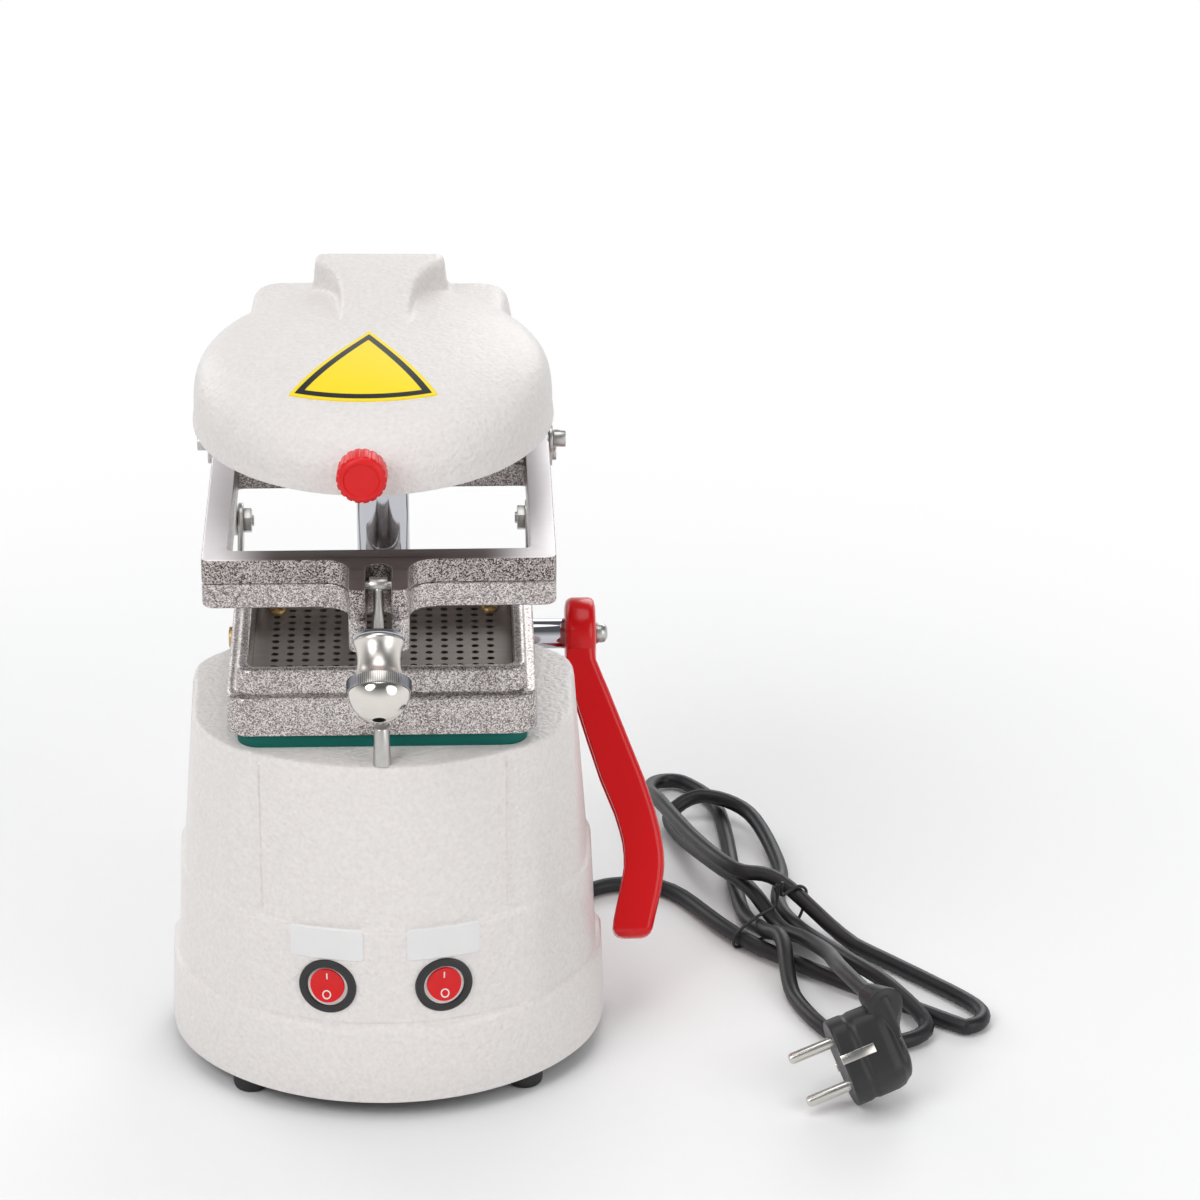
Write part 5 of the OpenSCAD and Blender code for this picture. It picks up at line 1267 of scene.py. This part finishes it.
def makeLatch(finishes):
    origin, aim = boltSpot()
    thread = [(0.2, 1.5), (2.1, 1.5)]
    k = 3.0
    while k < 42:
        thread += [(2.1, k), (1.82, k + 0.35), (2.1, k + 0.7)]
        k += 0.72
    thread += [(2.1, 43.6), (1.7, 44.6), (0.2, 44.7)]
    stem = lathe("boltStem", thread, origin, aim, 24, 60)
    eye = lathe("boltEye", [(1.56, -3.6), (3.0, -3.6), (3.2, -3.3), (3.2, 3.3), (3.0, 3.6), (1.56, 3.6)], origin, (1, 0, 0), 40)
    bolt = joined("swingStem", [stem, eye], 40)
    done(bolt, "latch_bolt", finishes["steel"], "zinc_steel", "swing_bolt")
    washer = lathe("looseWasher", [(2.2, 22.2), (10.0, 22.2), (10.3, 22.5), (10.3, 23.5), (10.0, 23.8), (2.2, 23.8)],
                   origin, aim, 72)
    done(washer, "washer", finishes["chrome"], "chrome", "latch_washer")
    at = 23.8
    profile = [(2.2, at), (9.4, at), (9.8, at + 0.4), (9.8, at + 1.6), (9.5, at + 2.1), (9.0, at + 3.4), (8.55, at + 5.6),
               (8.4, at + 8), (8.5, at + 10.5), (9.0, at + 13), (10.0, at + 15.3), (11.6, at + 16.6)]
    ballAt = at + 33 - 12.25
    profile += [(12.1, ballAt - 4.1), (12.3, ballAt - 3.7), (12.3, ballAt + 0.6), (12.05, ballAt + 1.0)]
    for k in range(1, 15):
        a = math.radians(6 + (90 - 6 - 12.7) * k / 14)
        profile.append((12.22 * math.cos(a), ballAt + 12.22 * math.sin(a)))
    profile += [(2.6, ballAt + 11.8), (2.5, ballAt + 8), (0.2, ballAt + 8)]
    split = next(i for i, p in enumerate(profile) if p[1] > ballAt + 0.9)
    body = lathe("turnedBody", profile[:split] + [(2.6, ballAt + 0.9)], origin, aim, 128, 46)
    knob = lathe("ballShell", [(2.6, ballAt + 0.8), (12.0, ballAt + 0.8)] + profile[split:], origin, aim, 128, 46)
    done(body, "knob", finishes["satinNickel"], "chrome")
    # painted shade: a dark cup lining the hole in the ball's end
    hole = lathe("ballHole", [(0.2, ballAt + 9.6), (2.52, ballAt + 9.6), (2.52, ballAt + 11.85), (2.3, ballAt + 11.85),
                              (2.2, ballAt + 10.0), (0.2, ballAt + 10.0)], origin, aim, 32)
    done(hole, "knob", finishes["darkSteel"], "black_steel")
    spot = frameAlong(origin, aim)
    tooth = localPiece("knurlTooth", [(-0.2, -0.16, -4.0), (0.34, 0, -3.7), (-0.2, 0.16, -4.0), (-0.2, -0.16, 0.9),
                                      (0.34, 0, 0.6), (-0.2, 0.16, 0.9)],
                       [(0, 1, 4, 3), (1, 2, 5, 4), (2, 0, 3, 5), (0, 2, 1), (3, 4, 5)])
    knurl = repeated(tooth, spot @ Matrix.Translation((0, 0, ballAt)), 90, 12.35, finish=finishes["chrome"])
    knurl.name = "ballKnurl"
    done(knurl, "knob", finishes["satinNickel"], "chrome")
    done(knob, "knob", finishes["warmNickel"], "chrome", "ball_knob")


leverSizes = {"lean": 30.0, "wall": 3.5, "hub": 15.4, "lip": 3.4, "round": 3.2}
leverLine = [  # distance down the arm, inner edge, outer edge, half depth
    (-8.0, 77.6, 89.6, 13.2), (-12.5, 77.2, 90.0, 12.9), (-20, 78.6, 93.0, 12.5), (-28, 80.6, 96.2, 12.2), (-46, 86.0, 103.2, 11.6),
    (-63, 91.4, 109.8, 11.0), (-77.5, 97.2, 114.4, 10.5), (-85, 99.4, 116.2, 10.3), (-90, 100.5, 117.1, 10.1), (-95, 101.0, 117.7, 10.0),
    (-100, 101.0, 117.8, 9.9), (-105, 100.2, 117.3, 9.8), (-111, 98.9, 116.3, 9.6), (-117, 97.5, 114.9, 9.5), (-123, 96.2, 113.4, 9.4),
    (-126.8, 95.8, 112.5, 9.3), (-127.2, 95.8, 112.4, 9.3), (-129.0, 96.4, 111.6, 8.7), (-130.3, 97.8, 110.2, 7.6),
    (-131.0, 100.0, 108.0, 5.6)]


def leverSection(down, inner, outer, depth, hollow):
    r, wall = min(leverSizes["round"], (outer - inner) * 0.4), leverSizes["wall"]
    ring = [(inner, -depth + 0.6), (inner + 0.6, -depth)]
    ring += arc(outer - r, -depth + r, r, -90, 0, 6) + arc(outer - r, depth - r, r, 0, 90, 6)
    ring += [(inner + 0.6, depth), (inner, depth - 0.6)]
    deep = max((outer - inner - wall) * hollow, 0.02)
    side = depth - wall
    soft = min(1.6, deep * 0.4)
    ring += [(inner, side + 0.3), (inner + 0.3, side), (inner + deep - soft, side), (inner + deep, side - soft),
             (inner + deep, -side + soft), (inner + deep - soft, -side), (inner + 0.3, -side), (inner, -side - 0.3)]
    return [(x, y, down) for x, y in ring]


def makeLeverArm():
    rings = []
    for down, inner, outer, depth in leverLine:
        hollow = 0.0 if down > -24 or down < -127 else 1.0
        if down in (-28, -126.8):
            rings.append(leverSection(down - (-1 if down == -28 else 0.15) * 0.2, inner, outer, depth, 0.0 if down == -28 else 1.0))
        rings.append(leverSection(down, inner, outer, depth, hollow))
    arm = loft("leverArm", rings, degrees=40)
    hub = lathe("leverHub", [(0.3, 76.9), (11.4, 76.9), (13.6, 77.4), (14.8, 78.4), (15.4, 79.9), (15.4, 87.0), (15.0, 88.5),
                             (13.9, 89.5), (11.8, 90.0), (0.3, 90.0)], (0, 0, 0), (1, 0, 0), 96, 40)
    tab = softBox("leverTab", (74.6, -4.5, -29), (79.5, 4.5, -12.5), 0.9)
    lever = joined("castLever", [arm, hub, tab], 40)
    spot = Matrix.Translation(place((0, 0, shaftZ))) @ Matrix.Rotation(math.radians(-leverSizes["lean"]), 4, "X")
    lever.data.transform(spot @ Matrix.Translation(-place((0, 0, 0))))
    return lever


def makeLever(finishes):
    lever = makeLeverArm()
    done(lever, "shaft", finishes["redEnamel"], "red_enamel", "lever")
    head = lathe("leverScrewTurned", [(0.2, -11), (1.9, -11), (1.9, 0), (4.5, 0.1), (4.6, 0.5), (4.6, 1.0), (4.2, 1.1), (4.2, 2.6), (3.7, 4.2),
                                      (2.4, 5.1), (1.1, 5.3), (1.0, 3.6), (0.2, 3.5)], (90, 0, shaftZ), (1, 0, 0), 48)
    done(head, "shaft", finishes["steel"], "zinc_steel", "lever_screw")
    for node, width, name in (("cross_shaft", 0.3, "crossShaftBar"), ("crank_left", 0.3, "leftCrank"), ("crank_right", 0.3, "rightCrank"),
                              ("crank_bolts", 0.35, "crankHexBolts"), ("crank_nuts", 0.35, "crankHexNuts"),
                              ("shaft_end_screw", 0.4, "endScrew")):
        piece = edgedCopy(node, width, 2, name)
        finish, slotName = ("chrome", "chrome") if node == "cross_shaft" else ("brass", "brass") if node == "shaft_end_screw" \
            else ("steel", "zinc_steel")
        done(piece, "shaft", finishes[finish], slotName, node)
    for node, body, name in (("link_left", "left_link", "leftLink"), ("link_right", "right_link", "rightLink"),
                             ("hinge_plates", "carriage", "hingeStraps"), ("link_rivets", "carriage", "rivetHeads"),
                             ("hinge_screws", "clamp_frame", "hingeScrewSet"), ("latch_pin", "clamp_frame", "latchPinRod")):
        piece = edgedCopy(node, 0.3 if "pin" not in node else 0.3, 2, name)
        done(piece, body, finishes["steel"], "zinc_steel", node)
    piece = edgedCopy("guide_screw", 0.2, 2, "grubScrew")
    done(piece, "carriage", finishes["darkSteel"], "black_steel", "guide_screw")


headSizes = {"halfWide": 72.5, "halfLong": 88.0, "rise": 32.5, "wall": 2.6, "sides": 144, "levels": 34, "turn": -2.0}
headTurn = Matrix.Rotation(math.radians(headSizes["turn"]), 4, "Z")


def share(t, n):
    return max(0.0, 1 - t ** n) ** (1 / n)


def domePoint(a, t, grow=0.0):
    s = math.sin(a)
    n = 2.6 if s < 0 else 4.6
    x = (headSizes["halfWide"] + grow) * share(t, 4.6) * math.cos(a)
    y = -64 + (headSizes["halfLong"] + grow) * share(t, n) * s
    return Vector((x, y, lipZ + t * (headSizes["rise"] + grow)))


def makeHead(finishes):
    sides, levels = headSizes["sides"], headSizes["levels"]
    rings = []
    for drop, grow in ((-4, 0.55), (2.2, 0.55), (2.8, 0.3), (3.2, 0.0)):
        rings.append([(*domePoint(2 * math.pi * i / sides, 0.0 if drop < 0 else 0.02, grow).to_2d(), lipZ + drop)
                      for i in range(sides)])
    for k in range(1, levels + 1):
        t = math.sin(math.pi / 2 * k / levels) * 0.9993
        if t * headSizes["rise"] < 3.4:
            continue
        rings.append([tuple(domePoint(2 * math.pi * i / sides, t)) for i in range(sides)])
    dome = loft("dome", rings)
    boxRows = [(56.5, -60, 22, 9, lipZ - 4), (56.5, -60, 22, 9, lipZ), (55.0, -60, 21.7, 9, lipZ + 12),
               (53.2, -60, 21.2, 9, lipZ + 22), (52.2, -60, 20.6, 9, lipZ + 24.6), (50.4, -60, 19.4, 9, lipZ + 26.3),
               (48.6, -60, 17.6, 9, lipZ + 27)]
    rear = loft("rearBox", [roundRing(*row) for row in boxRows])
    rings = []
    for k in range(28):                                  # hood: a strap up the dome that widens and curls over the rear box
        y = -59 + 3 * k
        near = min(max((y + 56) / 12, 0), 1)
        climb = min(max((y + 50) / 50, 0), 1)
        wide = min(max((y + 44) / 48, 0), 1)
        topHalf = 14.5 + 12.6 * wide ** 3.4
        foot = 15.3 + 15.7 * wide ** 2.4
        top = lipZ + 32.0 + 0.95 * near * near * (3 - 2 * near) + 10.0 * math.sin(climb * math.pi / 2) ** 1.4
        if y > 8:
            top -= 0.064 * (y - 8) ** 2
        low = lipZ + 14
        row = []
        for k2 in range(7):                              # concave flank, then a rounded shoulder
            u = k2 / 6
            row.append((-(foot + (topHalf - 0.2 - foot) * u ** 0.5), y, low + (top - 3.6 - low) * u))
        row += [(-topHalf + 3.2 * (1 - math.cos(a)), y, top - 3.2 + 3.2 * math.sin(a)) for a in (0.35, 0.75, 1.15, 1.57)]
        rings.append(row + [(-x, a, b) for x, a, b in reversed(row)])
    hood = loft("hood", rings)
    boss = lathe("knobBoss", [(0.3, 0), (6.0, 0), (6.5, 0.4), (6.5, 12), (0.3, 12)], (0, -153, lipZ + 12), (0, 1, 0), 48)
    shell = joined("headShell", [dome, rear, hood, boss])
    shell = castCopy(shell, 1.05, 9)
    cut = bmesh.new()
    cut.from_mesh(shell.data)
    bmesh.ops.bisect_plane(cut, geom=cut.verts[:] + cut.edges[:] + cut.faces[:], plane_co=(0, 0, lipZ * mm),
                           plane_no=(0, 0, -1), clear_outer=True)
    cut.to_mesh(shell.data)
    cut.free()
    wall = shell.modifiers.new("wall", "SOLIDIFY")
    wall.thickness = headSizes["wall"] * mm
    wall.offset = -1
    shell = toPlain(shell)
    shell.name = "headCover"
    spinHead(shell)
    shadeByAngle(shell, 50)
    done(shell, "head", finishes["enamel"], "enamel", "head_cover")


def spinHead(piece):
    shift = Matrix.Translation((0, -rearFoot * mm, 0))
    piece.data.transform(shift @ headTurn @ shift.inverted())
    return piece


def makePlaque(finishes):
    apex = Vector((-1.4, -56.5))
    reach, spread = 66.0, 26.4

    def surface(x, y, lift):
        # height of the dome over a place in plan
        low, high = 0.0, 0.9995
        for _ in range(40):
            t = (low + high) / 2
            n = 2.6 if y < -64 else 4.6
            u, v = x / (72.5 * share(t, 4.6)), (y + 64) / (88 * share(t, n))
            if u * u + v * v < 1:
                low = t
            else:
                high = t
        return Vector((x, y, lipZ + low * 32.5 + lift))

    def patch(name, inset, lift):
        top = apex + Vector((0, -inset / math.sin(math.radians(spread))))
        radius = reach - inset
        columns, rows = 36, 26
        verts, faces = [], []
        for layer in (lift, lift - 0.5):
            for r in range(rows + 1):
                for c in range(columns + 1):
                    a = math.radians(-spread + 2 * spread * c / columns)
                    aim = Vector((math.sin(a), -math.cos(a)))
                    full = radius - (top - apex).length * math.cos(a)
                    p = top + aim * (0.4 + (full - 0.4) * r / rows)
                    verts.append(surface(p.x, p.y, layer))
        wide = columns + 1
        step = (rows + 1) * wide
        for r in range(rows):
            for c in range(columns):
                i = r * wide + c
                faces.append((i, i + 1, i + wide + 1, i + wide))
                faces.append((step + i, step + i + wide, step + i + wide + 1, step + i + 1))
        for r in range(rows):
            for c in (0, columns):
                i = r * wide + c
                faces.append((i, i + wide, step + i + wide, step + i))
        for c in range(columns):
            for r in (0, rows):
                i = r * wide + c
                faces.append((i, i + 1, step + i + 1, step + i))
        piece = outward(meshPiece(name, verts, faces), 0.0000001)
        spinHead(piece)
        return piece
    sheet = patch("plaqueSheet", 0, 0.36)
    rim = patch("plaqueBorder", 1.7, 0.43)
    field = patch("plaqueField", 4.7, 0.5)
    done(sheet, "head", finishes["plateYellow"], "yellow_plate", "head_plaque")
    done(rim, "head", finishes["platePrint"], "yellow_plate")
    done(field, "head", finishes["plateYellow"], "yellow_plate")


def makeHeadInside(finishes):
    for node, finish in (("head_reflector", "bright"), ("heater_holders", "steel"), ("head_screws", "steel")):
        dress(node, finishes[finish])
    profile = [(11.25, -3.5), (15.2, -3.5), (15.6, -3.1), (15.6, 0.6), (15.2, 1.0), (13.5, 1.0), (13.5, 15), (11.25, 15)]
    collar = lathe("swivelCollar", profile, (0, 0, lipZ), (0, 0, 1), 96)
    spinHead(collar)
    done(collar, "head", finishes["steel"], "zinc_steel", "head_collar")
    rods = []
    for x in (-30, 30):
        rods.append(lathe("rod", [(3.0, 0), (7.9, 0), (8.6, 0.6), (8.6, 109.4), (7.9, 110), (3.0, 110)], (x, -118, 279.6),
                          (0, 1, 0), 48))
    rods = joined("heaterCores", rods, 40)
    spinHead(rods)
    coils = []
    for x in (-30, 30):
        circle = [(8.95 + 0.55 * math.cos(b), 0, 0.55 * math.sin(b)) for b in (2 * math.pi * k / 6 for k in range(6))]
        verts, faces = [], []
        for i in range(32):
            a = 2 * math.pi * i / 32
            verts += [(p[0] * math.cos(a), p[0] * math.sin(a), p[2]) for p in circle]
        for i in range(32):
            j = (i + 1) % 32
            for k in range(6):
                n = (k + 1) % 6
                faces.append((i * 6 + k, i * 6 + n, j * 6 + n, j * 6 + k))
        turn = localPiece("windingTurn", verts, faces)
        spot = frameAlong((x, -112, 279.6), (0, 1, 0))
        coils.append(repeated(turn, spot, 56, 0, 1.75, 0.0, finishes["steel"]))
    coils = joined("heaterWindings", coils, 60)
    spinHead(coils)
    done(rods, "head", finishes["ceramic"], "ceramic", "heater_rods")
    done(coils, "head", finishes["steel"], "zinc_steel")


def makeHeadKnob(finishes):
    at = -153.0
    profile = [(0.3, -13.4), (6.7, -13.4), (7.1, -14), (7.9, -14), (8.6, -13.6), (9.3, -12.8), (9.5, -11.8), (9.5, -4.4), (9.0, -3.5), (7.7, -3.0), (7.5, 0),
               (2.4, 0), (2.4, 11), (0.3, 11)]
    core = lathe("knobCore", profile, (0, at, lipZ + 12), (0, 1, 0), 72)
    rib = localBox("knobRib", (-0.9, -1.25, -12.9), (0.75, 1.25, -3.9), 0.6, 3)
    spot = frameAlong((0, at, lipZ + 12), (0, 1, 0))
    ribs = repeated(rib, spot, 18, 9.1, finish=finishes["redPlastic"])
    knob = joined("ribbedKnob", [core, ribs], 38)
    spinHead(knob)
    done(knob, "head", finishes["redPlastic"], "red_plastic", "head_knob")


studio = {"softLight": 0.36, "lamps": (
    ("keyLamp", (-0.75, -1.0, 1.15), 0.9, 8.6), ("fillLamp", (1.0, -0.9, 0.75), 1.0, 4.6),
    ("topLamp", (0.0, -0.1, 1.35), 0.9, 4.4), ("backLamp", (0.5, 1.2, 0.8), 0.9, 5.6),
    ("backLeftLamp", (-0.9, 1.0, 0.7), 0.8, 4.0))}


def makeFloor():
    bpy.ops.mesh.primitive_plane_add(size=8, location=(0, 0, -0.0002))
    floor = bpy.context.object
    floor.name = "paleFloor"
    f = Finish("paleFloor")
    grain = f.noise(90, 2, 0.5)
    f.put(base=f.blend(grain * 0.3, (0.93, 0.93, 0.93), (0.90, 0.90, 0.90)), rough=0.6, specular=0.2)
    far = (f.axis("X") * f.axis("X") + f.axis("Y") * f.axis("Y")) ** 0.5    # white where the floor runs out of light
    fade = f.add("ShaderNodeMapRange", {"interpolation_type": "SMOOTHSTEP"}, {0: far, 1: 0.22, 2: 0.62})
    rays = f.add("ShaderNodeLightPath", {}, {}, "Is Camera Ray")
    shine = f.add("ShaderNodeLightPath", {}, {}, "Is Glossy Ray")
    clear = f.add("ShaderNodeLightPath", {}, {}, "Is Transmission Ray")
    seen = f.mixed("MAXIMUM", f.mixed("MAXIMUM", rays, shine), clear)
    glow = f.add("ShaderNodeEmission", {}, {"Color": (1, 1, 1, 1), "Strength": 1.0})
    out = next(n for n in f.tree.nodes if n.type == "OUTPUT_MATERIAL")
    both = f.add("ShaderNodeMixShader", {}, {0: fade * seen, 1: Wire(f, f.shader.outputs[0]), 2: glow})
    f.tree.links.new(both.socket, out.inputs[0])
    floor.data.materials.append(f.material)


def makeStage():
    makeFloor()
    world = bpy.data.worlds.new("studio")
    bpy.context.scene.world = world
    world.use_nodes = True
    tree = world.node_tree
    tree.nodes.clear()
    make, link = tree.nodes.new, tree.links.new
    out = make("ShaderNodeOutputWorld")
    soft, sky, white = make("ShaderNodeBackground"), make("ShaderNodeBackground"), make("ShaderNodeBackground")
    soft.inputs["Color"].default_value = (0.97, 0.98, 1.0, 1)
    soft.inputs["Strength"].default_value = studio["softLight"]
    white.inputs["Color"].default_value = (1, 1, 1, 1)
    coords, split, ramp = make("ShaderNodeTexCoord"), make("ShaderNodeSeparateXYZ"), make("ShaderNodeValToRGB")
    link(coords.outputs["Generated"], split.inputs[0])
    link(split.outputs["Z"], ramp.inputs[0])
    ramp.color_ramp.elements[0].position = 0.05
    ramp.color_ramp.elements[0].color = (0.95, 0.955, 0.96, 1)
    ramp.color_ramp.elements[1].position = 0.6
    ramp.color_ramp.elements[1].color = (0.14, 0.145, 0.15, 1)
    link(ramp.outputs[0], sky.inputs["Color"])
    path, shiny, mirror, seen = (make("ShaderNodeLightPath"), make("ShaderNodeMath"), make("ShaderNodeMixShader"),
                                 make("ShaderNodeMixShader"))
    shiny.operation = "MAXIMUM"
    link(path.outputs["Is Glossy Ray"], shiny.inputs[0])
    link(path.outputs["Is Transmission Ray"], shiny.inputs[1])
    link(shiny.outputs[0], mirror.inputs[0])
    link(soft.outputs[0], mirror.inputs[1])
    link(sky.outputs[0], mirror.inputs[2])
    link(path.outputs["Is Camera Ray"], seen.inputs[0])
    link(mirror.outputs[0], seen.inputs[1])
    link(white.outputs[0], seen.inputs[2])
    link(seen.outputs[0], out.inputs[0])
    for name, spot, size, power in studio["lamps"]:
        data = bpy.data.lights.new(name, "AREA")
        data.shape = "DISK"
        data.size = size
        data.energy = power
        lamp = bpy.data.objects.new(name, data)
        bpy.context.scene.collection.objects.link(lamp)
        lamp.location = spot
        lamp.rotation_euler = (Vector((0.03, -0.08, 0.15)) - Vector(spot)).to_track_quat("-Z", "Y").to_euler()
    view = bpy.context.scene.view_settings
    view.view_transform = "Standard"


base = makeBase()
done(base, "base", finishes["baseEnamel"], "enamel", "casing")
panels = makeBaseTrim(finishes)
done(panels, "base", finishes["baseEnamel"], "enamel")
makeSwitches(finishes)
makePlates(finishes)
makeGland(finishes)
makeFeet(finishes)
print("base made")
makeColumn(finishes)
makeTray(finishes)
makeFrames(finishes)
makeLatch(finishes)
makeLever(finishes)
print("frames, latch and lever made")
makeHead(finishes)
makePlaque(finishes)
makeHeadInside(finishes)
makeHeadKnob(finishes)
print("head made")
for node, finish in (("base_plate", "darkSteel"), ("base_screws", "steel"), ("foot_screws", "steel"), ("detent_ball", "contact"),
                     ("vacuum_motor", "darkSteel"), ("motor_mount", "steel"), ("suction_duct", "rubber"),
                     ("terminal_block", "label")):
    dress(node, finishes[finish])
makeStage()
